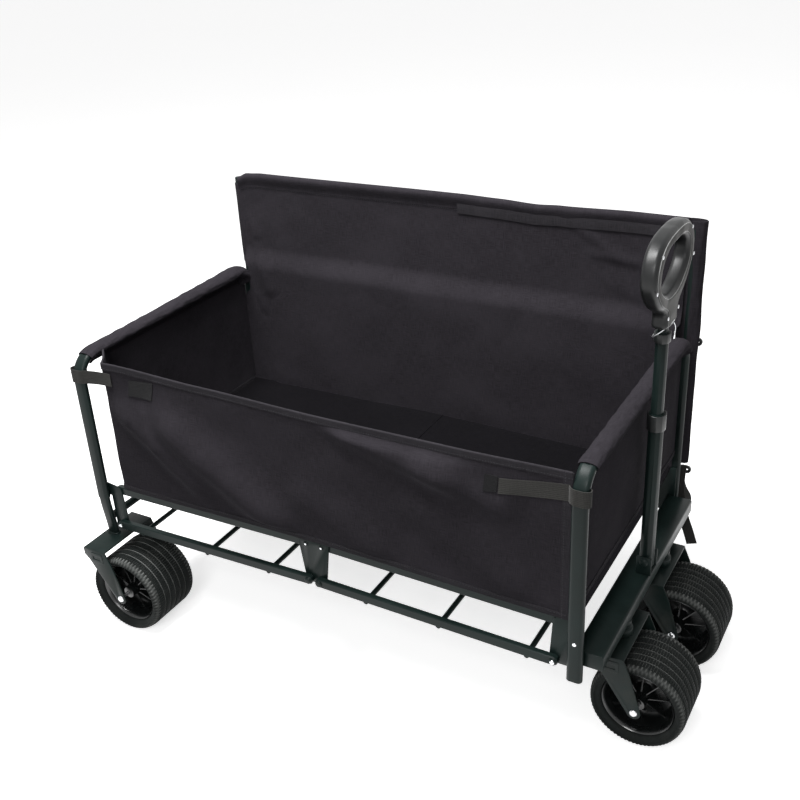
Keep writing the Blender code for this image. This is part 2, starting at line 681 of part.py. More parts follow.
def both(pattern):
    return [pattern % word for word in ("near", "far")]


def joints():
    """An empty on the axis of each joint, each carried by the group it turns on. The last one
    carries the wagon and sets it with its origin midway between the front and rear axles."""
    rear_low, rear_mid, rear_high, _ = pivot_points(-1)
    front_low, front_mid, _, front_high = pivot_points(1)
    rear_base = carry("rear_base_pivot", (rear_low[0], 0, rear_low[1]), ["rear_base"])
    carry("rear_floor_pivot", (rear_high[0], 0, rear_high[1]),
          ["rear_floor"] + both("rear_upper_rail_%s"))
    bracket = carry("bracket_pivot", (rear_mid[0], 0, rear_mid[1]), both("centre_bracket_%s"), rear_base)
    front_base = carry("front_base_pivot", (front_mid[0], 0, front_mid[1]), ["front_base"], bracket)
    carry("front_floor_pivot", (front_high[0], 0, front_high[1]),
          ["front_floor"] + both("front_upper_rail_%s"), bracket)
    front = carry("front_frame_pivot", (front_low[0], 0, front_low[1]),
                  ["front_frame", "front_panel", "front_stanchion", "front_beam", "handle_base"]
                  + both("front_ear_%s"), front_base)
    for word, side in (("near", -1), ("far", 1)):
        carry("rear_%s_hub" % word, (REAR_HOOD_X + RAKE, side * REAR_TRACK, WHEEL_R),
              ["rear_%s_tyre" % word, "rear_%s_rim" % word])
        caster = carry("caster_%s" % word, (FRONT_HOOD_X, side * FRONT_TRACK, HOOD_Z),
                       ["kingpin_" + word, "front_hood_" + word, "front_%s_axle" % word], front)
        carry("front_%s_hub" % word, (FRONT_HOOD_X + RAKE, side * FRONT_TRACK, WHEEL_R),
              ["front_%s_tyre" % word, "front_%s_rim" % word], caster)
    outer = carry("handle_pivot", (HANDLE_X, 0, HANDLE_PIVOT_Z), ["handle_outer", "lower_collar"], front)
    middle = carry("handle_middle_slide", (HANDLE_X, 0, OUTER_TUBE_TOP),
                   ["handle_middle", "upper_collar"], outer)
    carry("handle_inner_slide", (HANDLE_X, 0, MIDDLE_TUBE_TOP), ["handle_inner", "handle_grip"], middle)
    loose = [obj.name for obj in WAGON.objects if obj.parent is None]
    wagon = carry("wagon", (0, 0, 0), loose)
    wagon.location.x = -(FRONT_HOOD_X + REAR_HOOD_X) / 2 - RAKE


def build():
    end_frame("rear_frame", -POST_X, REAR_POST_Z)
    end_frame("front_frame", POST_X, FRONT_POST_Z)
    sides = (("near", -1), ("far", 1))
    for word, side in sides:
        rear_leg("rear_leg_" + word, side)
        hood("rear_hood_" + word, REAR_HOOD_X, side * REAR_TRACK, 0)
        wheel_set("rear_" + word, REAR_HOOD_X, side * REAR_TRACK)
        hood("front_hood_" + word, FRONT_HOOD_X, side * FRONT_TRACK, KINGPIN_R)
        wheel_set("front_" + word, FRONT_HOOD_X, side * FRONT_TRACK)
        kingpin("kingpin_" + word, side * FRONT_TRACK)
        post_ear("rear_ear_" + word, -1, side)
        post_ear("front_ear_" + word, 1, side)
        centre_bracket("centre_bracket_" + word, side)
        for place, end in (("rear", -1), ("front", 1)):
            _, _, high_end, high_mid = pivot_points(end)
            rail("%s_upper_rail_%s" % (place, word), high_end, high_mid, side * HIGH_Y)
    base_frame("rear_base", -1)
    base_frame("front_base", 1)
    half = leg_y(REAR_CROSS_Z - REAR_CROSS_R) - LEG_D / 2 - CLEAR
    cylinder("rear_cross_tube", REAR_CROSS_R, 2 * half, (-POST_X, 0, REAR_CROSS_Z), POWDER)
    beam("front_beam")
    floor_half("rear_floor", -1)
    floor_half("front_floor", 1)
    end_panel("rear_panel", -POST_X, PANEL_FOOT)
    end_panel("front_panel", POST_X, FRONT_FOOT)
    near_panel("near_panel")
    back_panel("back_panel")
    stanchion("rear_stanchion", -POST_X)
    stanchion("front_stanchion", POST_X)
    handle_base("handle_base")
    handle_tubes()
    handle_collar("lower_collar", OUTER_TUBE_TOP - 0.001, 0, 0.030)
    handle_collar("upper_collar", MIDDLE_TUBE_TOP - 0.001, HANDLE_WALL + CLEAR, 0.016)
    grip("handle_grip")


build()
joints()
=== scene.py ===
# Folding wagon, dressed for the photograph: painted tubes and rails, wide ribbed wheels,
# woven cloth walls with hems, seams and straps, and a telescoping pull handle.
import functools
import json
import math

import bmesh
import bpy
from mathutils import Matrix, Vector, noise


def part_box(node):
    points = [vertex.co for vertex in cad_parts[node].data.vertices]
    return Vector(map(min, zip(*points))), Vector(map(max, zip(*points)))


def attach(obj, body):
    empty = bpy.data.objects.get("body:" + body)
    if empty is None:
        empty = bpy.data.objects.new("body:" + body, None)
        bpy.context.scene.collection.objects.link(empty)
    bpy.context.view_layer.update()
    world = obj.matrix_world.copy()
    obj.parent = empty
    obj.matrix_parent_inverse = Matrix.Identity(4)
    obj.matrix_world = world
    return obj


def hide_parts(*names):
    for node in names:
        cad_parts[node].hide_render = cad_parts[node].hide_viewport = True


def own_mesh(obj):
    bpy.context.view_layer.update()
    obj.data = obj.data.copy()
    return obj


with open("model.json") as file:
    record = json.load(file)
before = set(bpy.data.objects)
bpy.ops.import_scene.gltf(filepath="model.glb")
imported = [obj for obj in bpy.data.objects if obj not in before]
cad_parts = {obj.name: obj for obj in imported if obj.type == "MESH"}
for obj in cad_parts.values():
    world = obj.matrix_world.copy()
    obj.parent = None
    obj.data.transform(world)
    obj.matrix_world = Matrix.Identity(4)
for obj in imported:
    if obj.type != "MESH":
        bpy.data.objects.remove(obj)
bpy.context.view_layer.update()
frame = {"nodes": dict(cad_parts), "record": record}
scene = bpy.context.scene
scene.view_settings.view_transform = "Standard"

# Sizes below are measured from the middle of the wagon, and MIDDLE carries them to the frame
bracket_low, bracket_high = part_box("centre_bracket_near")
MIDDLE = Vector(((bracket_low.x + bracket_high.x) / 2, 0.0, 0.0))
BODY_OF = {node: body for body, nodes in frame["record"]["behaviour"]["bodies"].items()
           for node in nodes}

POST_X, POST_Y = 0.518, 0.275
TUBE_W, TUBE_D, TUBE_WALL = 0.028, 0.015, 0.0015
TOP_Z, BEND_R = 0.605, 0.045
REAR_POST_Z, FRONT_POST_Z = 0.29, 0.203
WHEEL_R, TYRE_W, RIM_R = 0.0875, 0.125, 0.0668
RAKE = 0.05
REAR_HOOD_X, FRONT_HOOD_X = -0.51, 0.5473
REAR_TRACK, FRONT_TRACK = 0.265, 0.1155
HOOD_Z, HOOD_W = 0.197, 0.147
HANDLE_X, GRIP_Z, GRIP_T = 0.551, 0.748, 0.028
LEG_W, LEG_D, LEG_FOOT_Y = 0.025, 0.012, 0.268
LOW_PIVOT_X, LOW_PIVOT_Z = 0.48, 0.231
CLOTH, TAPE, WEBBING = 0.0018, 0.0011, 0.0014    # thicknesses
WALL_HALF = 0.2655        # half of the width of an end wall
NEAR_END = 0.5025         # front end of the near cloth
REAR_FOOT, FRONT_FOOT = 0.3185, 0.3525           # lower edges of the end walls
FLOOR_L, FLOOR_W = 0.497, 0.524                  # cloth of one half of the floor
SIDES = (("near", -1), ("far", 1))


# Graphs


class Value:
    """A number socket of a graph. A sum written on it adds the Math nodes."""

    def __init__(self, graph, socket):
        self.graph, self.socket = graph, socket

    def maths(self, operation, *values):
        return self.graph.node("ShaderNodeMath", {"operation": operation}, dict(enumerate(values)))

    def __add__(self, other):
        return self.maths("ADD", self, other)

    def __sub__(self, other):
        return self.maths("SUBTRACT", self, other)

    def __rsub__(self, other):
        return self.maths("SUBTRACT", other, self)

    def __mul__(self, other):
        return self.maths("MULTIPLY", self, other)

    def __truediv__(self, other):
        return self.maths("DIVIDE", self, other)

    def __mod__(self, other):
        return self.maths("MODULO", self, other)

    __radd__ = __add__
    __rmul__ = __mul__

    def whole(self):
        return self.maths("FLOOR", self)

    def wave(self):
        return self.maths("SINE", self)


class Graph:
    """A node tree to which one method adds any node."""

    def __init__(self, tree):
        self.tree = tree

    def node(self, kind, settings=None, inputs=None, out=0):
        made = self.tree.nodes.new(kind)
        for key, value in (settings or {}).items():
            setattr(made, key, value)
        for key, value in (inputs or {}).items():
            if isinstance(value, Value):
                self.tree.links.new(value.socket, made.inputs[key])
            else:
                made.inputs[key].default_value = value
        return Value(self, made.outputs[out]) if made.outputs else None


class Finish(Graph):
    """A material, built up from masks, colours and one surface."""

    def __init__(self, name):
        self.material = bpy.data.materials.new(name)
        self.material.use_nodes = True
        super().__init__(self.material.node_tree)
        self.tree.nodes.clear()

    def where(self, kind="Object"):
        return self.node("ShaderNodeTexCoord", out=kind)

    def split(self, vector):
        parts = self.node("ShaderNodeSeparateXYZ", inputs={"Vector": vector})
        return [Value(self, socket) for socket in parts.socket.node.outputs]

    def stretched(self, vector, scale):
        return self.node("ShaderNodeVectorMath", {"operation": "MULTIPLY"}, {0: vector, 1: scale})

    def noise(self, vector, scale, detail=3.0, rough=0.55):
        return self.node("ShaderNodeTexNoise",
                         inputs={"Vector": vector, "Scale": scale, "Detail": detail, "Roughness": rough})

    def mask(self, value, low, high, start=0.0, end=1.0):
        """0 to 1, or start to end, as value goes from low to high."""
        return self.node("ShaderNodeMapRange", {"interpolation_type": "SMOOTHSTEP"},
                         {"Value": value, "From Min": low, "From Max": high,
                          "To Min": start, "To Max": end})

    def mix(self, factor, first, second):
        return self.node("ShaderNodeMix", {"data_type": "RGBA"},
                         {0: factor, 6: self.rgba(first), 7: self.rgba(second)}, out=2)

    @staticmethod
    def rgba(colour):
        return colour if isinstance(colour, Value) else (*colour, 1.0)

    def bump(self, height, depth, strength=1.0):
        return self.node("ShaderNodeBump",
                         inputs={"Height": height, "Distance": depth, "Strength": strength})

    def surface(self, colour, roughness, normal=None, **fixed):
        inputs = {"Base Color": self.rgba(colour), "Roughness": roughness}
        inputs.update({key.replace("_", " "): value for key, value in fixed.items()})
        if normal:
            inputs["Normal"] = normal
        shader = self.node("ShaderNodeBsdfPrincipled", inputs=inputs)
        self.node("ShaderNodeOutputMaterial", inputs={"Surface": shader})
        return self.material


class Layout(Graph):
    """A Geometry Nodes tree with named sizes, run on a mesh and kept as a plain piece."""

    def __init__(self, name, **sizes):
        tree = bpy.data.node_groups.new(name, "GeometryNodeTree")
        super().__init__(tree)
        self.socket("Geometry", "INPUT", "NodeSocketGeometry")
        for label, value in sizes.items():
            kind = "NodeSocketInt" if isinstance(value, int) else "NodeSocketFloat"
            self.socket(label, "INPUT", kind).default_value = value
        self.socket("Geometry", "OUTPUT", "NodeSocketGeometry")
        entry = tree.nodes.new("NodeGroupInput")
        for label in ("Geometry", *sizes):
            setattr(self, label, Value(self, entry.outputs[label]))

    def socket(self, label, way, kind):
        return self.tree.interface.new_socket(name=label, in_out=way, socket_type=kind)

    def vector(self, x=0.0, y=0.0, z=0.0):
        return self.node("ShaderNodeCombineXYZ", inputs={"X": x, "Y": y, "Z": z})

    def place(self, points, unit, rotation, scale, material):
        """A copy of unit on each point, made real."""
        copies = self.node("GeometryNodeInstanceOnPoints",
                           inputs={"Points": points, "Instance": unit, "Rotation": rotation,
                                   "Scale": scale})
        real = self.node("GeometryNodeRealizeInstances", inputs={"Geometry": copies})
        coated = self.node("GeometryNodeSetMaterial", inputs={"Geometry": real, "Material": material})
        leave = self.tree.nodes.new("NodeGroupOutput")
        self.tree.links.new(coated.socket, leave.inputs["Geometry"])

    def grow(self, name, bm, body, **sizes):
        piece = add(name, bm, body, None, move=False)
        modifier = piece.modifiers.new(name, "NODES")
        modifier.node_group = self.tree
        for item in self.tree.interface.items_tree:
            if item.in_out == "INPUT" and item.name in sizes:
                modifier[item.identifier] = sizes[item.name]
        settle(piece)
        move_to_frame(piece)
        smooth(piece.data, 40.0)
        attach(piece, body)
        return piece


# Meshes


def smooth(mesh, angle):
    mesh.shade_smooth()
    mesh.set_sharp_from_angle(angle=math.radians(angle))


def move_to_frame(piece):
    for vertex in piece.data.vertices:
        vertex.co += MIDDLE


def add(name, bm, body, material, replaces=(), angle=38.0, move=True):
    """A piece from a bmesh: faces outwards, in the frame, riding on its body."""
    bmesh.ops.remove_doubles(bm, verts=bm.verts, dist=1e-6)
    bmesh.ops.recalc_face_normals(bm, faces=bm.faces)
    mesh = bpy.data.meshes.new(name)
    bm.to_mesh(mesh)
    bm.free()
    if material:
        mesh.materials.append(material)
    piece = bpy.data.objects.new(name, mesh)
    scene.collection.objects.link(piece)
    if move:
        move_to_frame(piece)
        smooth(mesh, angle)
        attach(piece, body)
    if replaces:
        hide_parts(*replaces)
    return piece


def settle(piece):
    """The piece's modifiers made into its own mesh."""
    bpy.context.view_layer.update()
    graph = bpy.context.evaluated_depsgraph_get()
    mesh = bpy.data.meshes.new_from_object(piece.evaluated_get(graph))
    piece.modifiers.clear()
    old, piece.data = piece.data, mesh
    bpy.data.meshes.remove(old)
    mesh.name = piece.name


def arc(centre, radius, start, end, steps):
    points = []
    for i in range(steps + 1):
        a = math.radians(start + (end - start) * i / steps)
        points.append((centre[0] + radius * math.cos(a), centre[1] + radius * math.sin(a)))
    return points


def flat_oval(width, depth, steps=8):
    half = (width - depth) / 2
    return (arc((half, 0), depth / 2, -90, 90, steps)
            + arc((-half, 0), depth / 2, 90, 270, steps))


def spline(points, steps=6, closed=False):
    """Catmull-Rom curve through a few control points."""
    count = len(points)
    out = []
    for i in range(count if closed else count - 1):
        p = [Vector(points[(i + k) % count] if closed
                    else points[min(max(i + k, 0), count - 1)]) for k in (-1, 0, 1, 2)]
        for s in range(steps):
            t = s / steps
            out.append(0.5 * ((2 * p[1]) + (p[2] - p[0]) * t
                              + (2 * p[0] - 5 * p[1] + 4 * p[2] - p[3]) * t * t
                              + (3 * p[1] - p[0] - 3 * p[2] + p[3]) * t ** 3))
    if not closed:
        out.append(Vector(points[-1]))
    return out


def skin(bm, rings, closed=False):
    """Faces from ring to ring, with a cap at each end unless the last ring meets the first."""
    count = len(rings[0])
    for one, two in zip(rings, rings[1:] + rings[:1] * closed):
        for i in range(count):
            j = (i + 1) % count
            bm.faces.new((one[i], one[j], two[j], two[i]))
    if not closed:
        bm.faces.new(rings[0])
        bm.faces.new(rings[-1])


def turned(profile, centre, steps):
    """Closed (radius, along) outline turned round a wheel's axle."""
    bm = bmesh.new()
    turn = Matrix.Rotation(-math.pi / 2, 3, "X")
    rings = []
    for radius, along in profile:
        ring = []
        for i in range(steps):
            a = 2 * math.pi * i / steps
            point = Vector((radius * math.cos(a), radius * math.sin(a), along))
            ring.append(bm.verts.new(turn @ point + Vector(centre)))
        rings.append(ring)
    skin(bm, rings, True)
    return bm


def swept(path, section, lip=0.0):
    """Tube along a path, with a hollow mouth at each end where lip is given."""
    bm = bmesh.new()
    path = [Vector(p) for p in path]
    frames = []
    for i, point in enumerate(path):
        ahead = (path[min(i + 1, len(path) - 1)] - path[max(i - 1, 0)]).normalized()
        other = ahead.cross(Vector((1, 0, 0))).normalized()
        frames.append((point, other.cross(ahead), other, ahead))

    def ring(place, wall=0.0, along=0.0):
        point, first, other, ahead = place
        out = []
        for u, v in section:
            share = 1.0 - wall / math.hypot(u, v)
            out.append(bm.verts.new(point + ahead * along + first * u * share + other * v * share))
        return out

    rings = [ring(place) for place in frames]
    if lip:
        rings = [ring(frames[0], TUBE_WALL, lip), ring(frames[0], TUBE_WALL)] + rings
        rings += [ring(frames[-1], TUBE_WALL), ring(frames[-1], TUBE_WALL, -lip)]
    skin(bm, rings)
    return bm


def flat(name, loops, thickness, matrix, body, material, bevel=0.0, segments=2, replaces=(),
         inset=0.0):
    """Flat outline with holes, given a thickness and rounded edges."""
    curve = bpy.data.curves.new(name, "CURVE")
    curve.dimensions = "2D"
    curve.fill_mode = "BOTH"
    curve.extrude = thickness / 2 - bevel
    curve.bevel_depth = bevel
    curve.bevel_resolution = segments
    curve.offset = -bevel - inset
    for loop in loops:
        line = curve.splines.new("POLY")
        line.points.add(len(loop) - 1)
        for point, (u, v) in zip(line.points, loop):
            point.co = (u, v, 0.0, 1.0)
        line.use_cyclic_u = True
    obj = bpy.data.objects.new(name, curve)
    bpy.context.view_layer.update()
    bm = bmesh.new()
    mesh = bpy.data.meshes.new_from_object(obj)
    bm.from_mesh(mesh)
    bm.transform(matrix)
    bpy.data.objects.remove(obj)
    bpy.data.meshes.remove(mesh)
    return add(name, bm, body, material, replaces)


def side_on(x, y, z):
    return Matrix(((1, 0, 0, x), (0, 0, -1, y), (0, 1, 0, z), (0, 0, 0, 1)))


def end_on(x):
    return Matrix(((0, 0, 1, x), (1, 0, 0, 0), (0, 1, 0, 0), (0, 0, 0, 1)))


def dressed(node, material, bevel):
    """The CAD shape of a node with its faces merged and its edges rounded."""
    bm = bmesh.new()
    bm.from_mesh(frame["nodes"][node].data)
    bmesh.ops.remove_doubles(bm, verts=bm.verts, dist=1e-5)
    bmesh.ops.dissolve_limit(bm, angle_limit=math.radians(0.6), verts=bm.verts, edges=bm.edges)
    bmesh.ops.translate(bm, verts=bm.verts, vec=-MIDDLE)
    piece = add(node + "_finished", bm, BODY_OF[node], material, [node], angle=35.0)
    if bevel:
        edge = piece.modifiers.new("edges", "BEVEL")
        edge.width = bevel
        edge.segments = 2
        edge.limit_method = "ANGLE"
        edge.angle_limit = math.radians(30.0)
        settle(piece)
        smooth(piece.data, 40.0)
    return piece


# Finishes


def powder_coat():
    """Black paint with a green cast, an orange-peel skin, scuffs, and dust low down."""
    f = Finish("powder_coat")
    colour = (0.0045, 0.0085, 0.0078)
    at = f.where()
    height = f.split(at)[2]
    broad = f.noise(at, 9.0, 4.0)
    fine = f.noise(at, 420.0, 2.0)
    scuff = f.mask(f.noise(f.stretched(at, (1.0, 1.0, 3.0)), 160.0, 5.0, 0.7), 0.66, 0.72)
    dust = f.mask(height, 0.26, 0.02) * f.mask(f.noise(at, 26.0, 5.0), 0.4, 0.75)
    tone = f.mix(f.mask(broad, 0.3, 0.7), colour, tuple(c * 1.7 for c in colour))
    tone = f.mix(scuff * 0.25, tone, (0.1, 0.11, 0.11))
    tone = f.mix(dust * 0.22, tone, (0.12, 0.115, 0.1))
    shine = f.mask(broad, 0.2, 0.8, 0.28, 0.44) + dust * 0.25
    return f.surface(tone, shine, f.bump(fine, 0.00022, 0.5), Specular_IOR_Level=0.13)


def zinc():
    """Bright plated steel with fine scratches and a dull bloom."""
    f = Finish("zinc_steel")
    at = f.where()
    bloom = f.noise(at, 70.0, 4.0)
    scratch = f.noise(f.stretched(at, (1.0, 14.0, 1.0)), 240.0, 3.0)
    tone = f.mix(bloom, (0.5, 0.51, 0.53), (0.74, 0.75, 0.76))
    return f.surface(tone, f.mask(bloom, 0.3, 0.7, 0.2, 0.38), f.bump(scratch, 0.0001, 0.4),
                     Metallic=1.0)


def rubber():
    """Moulded tyre rubber: matt, with dust held in the grooves and a scuffed crown."""
    f = Finish("tyre_rubber")
    at = f.where()
    broad = f.noise(at, 34.0, 5.0)
    grain = f.noise(at, 900.0, 2.0)
    dust = f.mask(broad, 0.44, 0.7)
    groove = f.node("ShaderNodeAttribute", {"attribute_name": "groove"}, out="Fac")
    tone = f.mix(f.mask(grain, 0.3, 0.7), (0.006, 0.0074, 0.0072), (0.012, 0.0142, 0.0135))
    tone = f.mix(dust * 0.16, tone, (0.06, 0.062, 0.058))
    tone = f.mix(groove * f.mask(broad, 0.25, 0.55, 0.35, 0.9), tone, (0.13, 0.135, 0.13))
    return f.surface(tone, f.mask(broad, 0.3, 0.7, 0.62, 0.8), f.bump(grain, 0.0002, 0.6),
                     Specular_IOR_Level=0.11)


def moulded(name, colour, rough, gloss=0.35):
    """Moulded plastic with a fine spark texture and rubbed patches."""
    f = Finish(name)
    at = f.where()
    grain = f.noise(at, 700.0, 2.0)
    rubbed = f.mask(f.noise(at, 24.0, 4.0), 0.45, 0.7)
    tone = f.mix(rubbed, colour, tuple(c * 1.5 for c in colour))
    return f.surface(tone, f.mask(rubbed, 0.0, 1.0, rough + 0.05, rough - 0.07),
                     f.bump(grain, 0.00015, 0.5), Specular_IOR_Level=gloss)


def woven(name, low, high, thread=0.00062):
    """Plain-weave coated cloth: threads, slubs along both ways, and a soft cast."""
    f = Finish(name)
    uv = f.where("UV")
    u, v, _ = f.split(uv)
    at = f.where()
    weave = (u * (math.pi / thread)).wave() * (v * (math.pi / thread)).wave()
    warp = f.noise(f.stretched(uv, (50.0, 1400.0, 1.0)), 1.0, 2.0)
    weft = f.noise(f.stretched(uv, (1400.0, 50.0, 1.0)), 1.0, 2.0)
    cloud = f.noise(at, 7.0, 4.0)
    lint = f.mask(f.noise(at, 330.0, 2.0), 0.7, 0.76)
    thread_tone = warp * 0.5 + weft * 0.5
    tone = f.mix(f.mask(thread_tone, 0.36, 0.64), low, high)
    tone = f.mix(f.mask(cloud, 0.35, 0.75) * 0.4, tone, tuple(c * 1.25 for c in high))
    tone = f.mix(lint * 0.12, tone, (0.1, 0.1, 0.11))
    height = weave * 0.5 + thread_tone * 0.8
    return f.surface(tone, f.mask(cloud, 0.3, 0.7, 0.85, 0.95),
                     f.bump(height, 0.00025, 0.55), Sheen_Weight=0.012, Sheen_Roughness=0.5,
                     Sheen_Tint=(0.72, 0.7, 0.78, 1.0), Specular_IOR_Level=0.04)


def webbing(name, low, high):
    """Woven strap with ribs along its length and two tones across it."""
    f = Finish(name)
    u, v, _ = f.split(f.where("UV"))
    rib = (u * (math.pi / 0.0011)).wave() * 0.5 + (v * (math.pi / 0.0016)).wave() * 0.5
    grain = f.noise(f.where(), 500.0, 3.0)
    tone = f.mix(f.mask(rib, -0.4, 0.6) * 0.7 + grain * 0.3, low, high)
    return f.surface(tone, 0.8, f.bump(rib, 0.0003, 0.7), Sheen_Weight=0.06,
                     Specular_IOR_Level=0.15)


def seen(graph):
    """1 for rays that show the backdrop: straight, in gloss or through glass."""
    path = graph.node("ShaderNodeLightPath").socket.node.outputs
    gloss, through, straight = (Value(graph, path["Is %s Ray" % kind])
                                for kind in ("Glossy", "Transmission", "Camera"))
    return gloss + through + straight


def floor_finish():
    """Pale seamless floor: white to the camera, gloss and glass, and a soft shadow."""
    f = Finish("pale_floor")
    cloud = f.noise(f.where(), 0.6, 2.0)
    tone = f.mix(cloud, (0.9, 0.9, 0.9), (0.94, 0.94, 0.94))
    shown = seen(f)
    tone = f.mix(shown, (0.22, 0.22, 0.22), tone)
    return f.surface(tone, 0.9, Emission_Color=f.mix(shown, (0.0, 0.0, 0.0), (0.66, 0.66, 0.66)),
                     Emission_Strength=1.0, Specular_IOR_Level=0.1)


PAINT = powder_coat()
ZINC = zinc()
TYRE = rubber()
RIM = moulded("rim_plastic", (0.0034, 0.0042, 0.0042), 0.24, gloss=0.65)
GRIP = moulded("grip_plastic", (0.006, 0.0064, 0.0066), 0.36, gloss=0.3)
FACE = moulded("grip_face", (0.046, 0.045, 0.043), 0.5, gloss=0.15)
# Pale line round the grip's face plate: a painted highlight standing in for the light caught along its
# edge.
EDGE_HIGHLIGHT = moulded("grip_edge_line", (0.145, 0.147, 0.145), 0.34)
PLASTIC = moulded("black_plastic", (0.008, 0.009, 0.009), 0.36)
WOVEN = woven("black_cloth", (0.015, 0.0135, 0.016), (0.0285, 0.0258, 0.0305))
HEM = woven("hem_tape", (0.0175, 0.0163, 0.0185), (0.033, 0.0308, 0.035), thread=0.0009)
# Floor cloth with painted shade: its colours are several times darker than the wall cloth's, to stand in
# for the shade inside the basket.
DECK_PAINTED_SHADE = woven("floor_cloth", (0.0026, 0.0024, 0.003), (0.0058, 0.0053, 0.0064))
STRAP = webbing("strap_webbing", (0.019, 0.0185, 0.0172), (0.04, 0.039, 0.0365))
PATCH = webbing("strap_patch", (0.0018, 0.0017, 0.0022), (0.0042, 0.004, 0.0048))
THREAD = moulded("thread", (0.02, 0.019, 0.023), 0.7)


# Repeats


def ball(graph, segments, rings):
    return graph.node("GeometryNodeMeshUVSphere",
                      inputs={"Segments": segments, "Rings": rings, "Radius": 1.0})


def wheel_layout(name, material):
    """Copies of the base mesh round a wheel: rows across it, each row turned by half a step."""
    g = Layout(name, count=60, rows=1, radius=0.08, pitch=0.01, centre_x=0.0, centre_y=0.0,
               centre_z=WHEEL_R, stagger=0.5)
    points = g.node("GeometryNodePoints", inputs={"Count": g.count * g.rows})
    index = g.node("GeometryNodeInputIndex")
    row = (index / g.count).whole()
    turn = (index % g.count + (row % 2) * g.stagger) * (2 * math.pi) / g.count
    across = (row - (g.rows - 1) * 0.5) * g.pitch
    spot = g.vector(g.centre_x + turn.wave() * g.radius, g.centre_y + across,
                    g.centre_z + turn.maths("COSINE", turn) * g.radius)
    placed = g.node("GeometryNodeSetPosition", inputs={"Geometry": points, "Position": spot})
    g.place(placed, g.Geometry, g.vector(0.0, turn, 0.0), (1.0, 1.0, 1.0), material)
    return g


def rivet_layout(name, material):
    """A low dome on each vertex of the base mesh, as wide as its own size."""
    g = Layout(name, height=0.45)
    size = g.node("GeometryNodeInputNamedAttribute", {"data_type": "FLOAT"}, {"Name": "size"})
    way = g.node("GeometryNodeInputNamedAttribute", {"data_type": "FLOAT_VECTOR"}, {"Name": "way"})
    turn = g.node("FunctionNodeAlignRotationToVector", {"axis": "Z"}, {"Vector": way})
    g.place(g.Geometry, ball(g, 16, 8), turn, g.vector(size, size, size * g.height), material)
    return g


def stitch_layout(name, material):
    """A short thread on every step of the base mesh's lines."""
    g = Layout(name, step=0.005, length=0.0016, thick=0.00035)
    line = g.node("GeometryNodeMeshToCurve", inputs={"Mesh": g.Geometry})
    dots = g.node("GeometryNodeResampleCurve", {"mode": "LENGTH"}, {"Curve": line, "Length": g.step})
    ahead = g.node("GeometryNodeInputTangent")
    turn = g.node("FunctionNodeAlignRotationToVector", {"axis": "X"}, {"Vector": ahead})
    g.place(dots, ball(g, 6, 4), turn, g.vector(g.length, g.thick, g.thick), material)
    return g


TREAD = wheel_layout("tread_blocks", TYRE)
RIBS = wheel_layout("rim_ribs", RIM)
RIVETS = rivet_layout("rivets", ZINC)
STITCHES = stitch_layout("stitches", THREAD)


def rivets(name, body, spots, height=0.45):
    """spots are (place, way, size)."""
    bm = bmesh.new()
    way = bm.verts.layers.float_vector.new("way")
    size = bm.verts.layers.float.new("size")
    for place, direction, radius in spots:
        vertex = bm.verts.new(place)
        vertex[way] = direction
        vertex[size] = radius
    return RIVETS.grow(name, bm, body, height=height)


def stitches(name, body, lines):
    bm = bmesh.new()
    for line in lines:
        vertices = [bm.verts.new(point) for point in line]
        for a, b in zip(vertices, vertices[1:]):
            bm.edges.new((a, b))
    return STITCHES.grow(name, bm, body)


def fold_flat(piece):
    """Gives the cloth piece its own copy of its mesh."""
    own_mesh(piece)


# Cloth


def shell(bm, place, cells, size, thickness):
    """A sheet with two faces and closed edges, from place(s, t). Its UV is in metres."""
    across, up = cells
    grid = [[place(i / across, j / up) for j in range(up + 1)] for i in range(across + 1)]
    front, back = [], []
    for i in range(across + 1):
        front.append([])
        back.append([])
        for j in range(up + 1):
            du = grid[min(i + 1, across)][j] - grid[max(i - 1, 0)][j]
            dv = grid[i][min(j + 1, up)] - grid[i][max(j - 1, 0)]
            n = du.cross(dv).normalized() * thickness / 2
            front[i].append(bm.verts.new(grid[i][j] + n))
            back[i].append(bm.verts.new(grid[i][j] - n))
    layer = bm.loops.layers.uv.verify()

    def face(corners):
        made = bm.faces.new([side[i][j] for side, i, j in corners])
        for loop, (_, i, j) in zip(made.loops, corners):
            loop[layer].uv = (i / across * size[0], j / up * size[1])

    for i in range(across):
        for j in range(up):
            face([(front, i, j), (front, i + 1, j), (front, i + 1, j + 1), (front, i, j + 1)])
            face([(back, i, j + 1), (back, i + 1, j + 1), (back, i + 1, j), (back, i, j)])
        face([(back, i, 0), (back, i + 1, 0), (front, i + 1, 0), (front, i, 0)])
        face([(front, i, up), (front, i + 1, up), (back, i + 1, up), (back, i, up)])
    for j in range(up):
        face([(front, 0, j), (front, 0, j + 1), (back, 0, j + 1), (back, 0, j)])
        face([(back, across, j), (back, across, j + 1), (front, across, j + 1), (front, across, j)])


def sheet(name, place, cells, size, body="rear_frame", material=WOVEN, thickness=CLOTH,
          replaces=(), folds=False, with_pieces=()):
    bm = bmesh.new()
    shell(bm, place, cells, size, thickness)
    piece = add(name, bm, body, material, replaces, angle=60.0)
    if folds:
        fold_flat(piece)


def crease(point, a, b, width, height):
    """A soft fold along a line from a to b in the plane of a sheet, fading at its ends."""
    p, a, b = Vector(point), Vector(a), Vector(b)
    along = b - a
    t = (p - a).dot(along) / along.length_squared
    away = (along.x * (p.y - a.y) - along.y * (p.x - a.x)) / along.length
    swell = math.exp(-(away / width) ** 2)
    if away <= 0:
        swell = 1.5 * math.exp(-(away / (width * 0.85)) ** 2)
        swell -= 0.5 * math.exp(-(away / (width * 1.3)) ** 2)
    fade = max(0.0, min(1.0, (t + 0.15) / 0.3)) * max(0.0, min(1.0, (1.15 - t) / 0.3))
    return height * ease(fade, 0.0, 1.0) * swell


def creased(point, creases):
    """How far all the folds lift a sheet at a point."""
    return sum(crease(point, *line) for line in creases)


def ripple(x, z, scale, seed):
    return noise.noise(Vector((x * scale, z * scale, seed)))


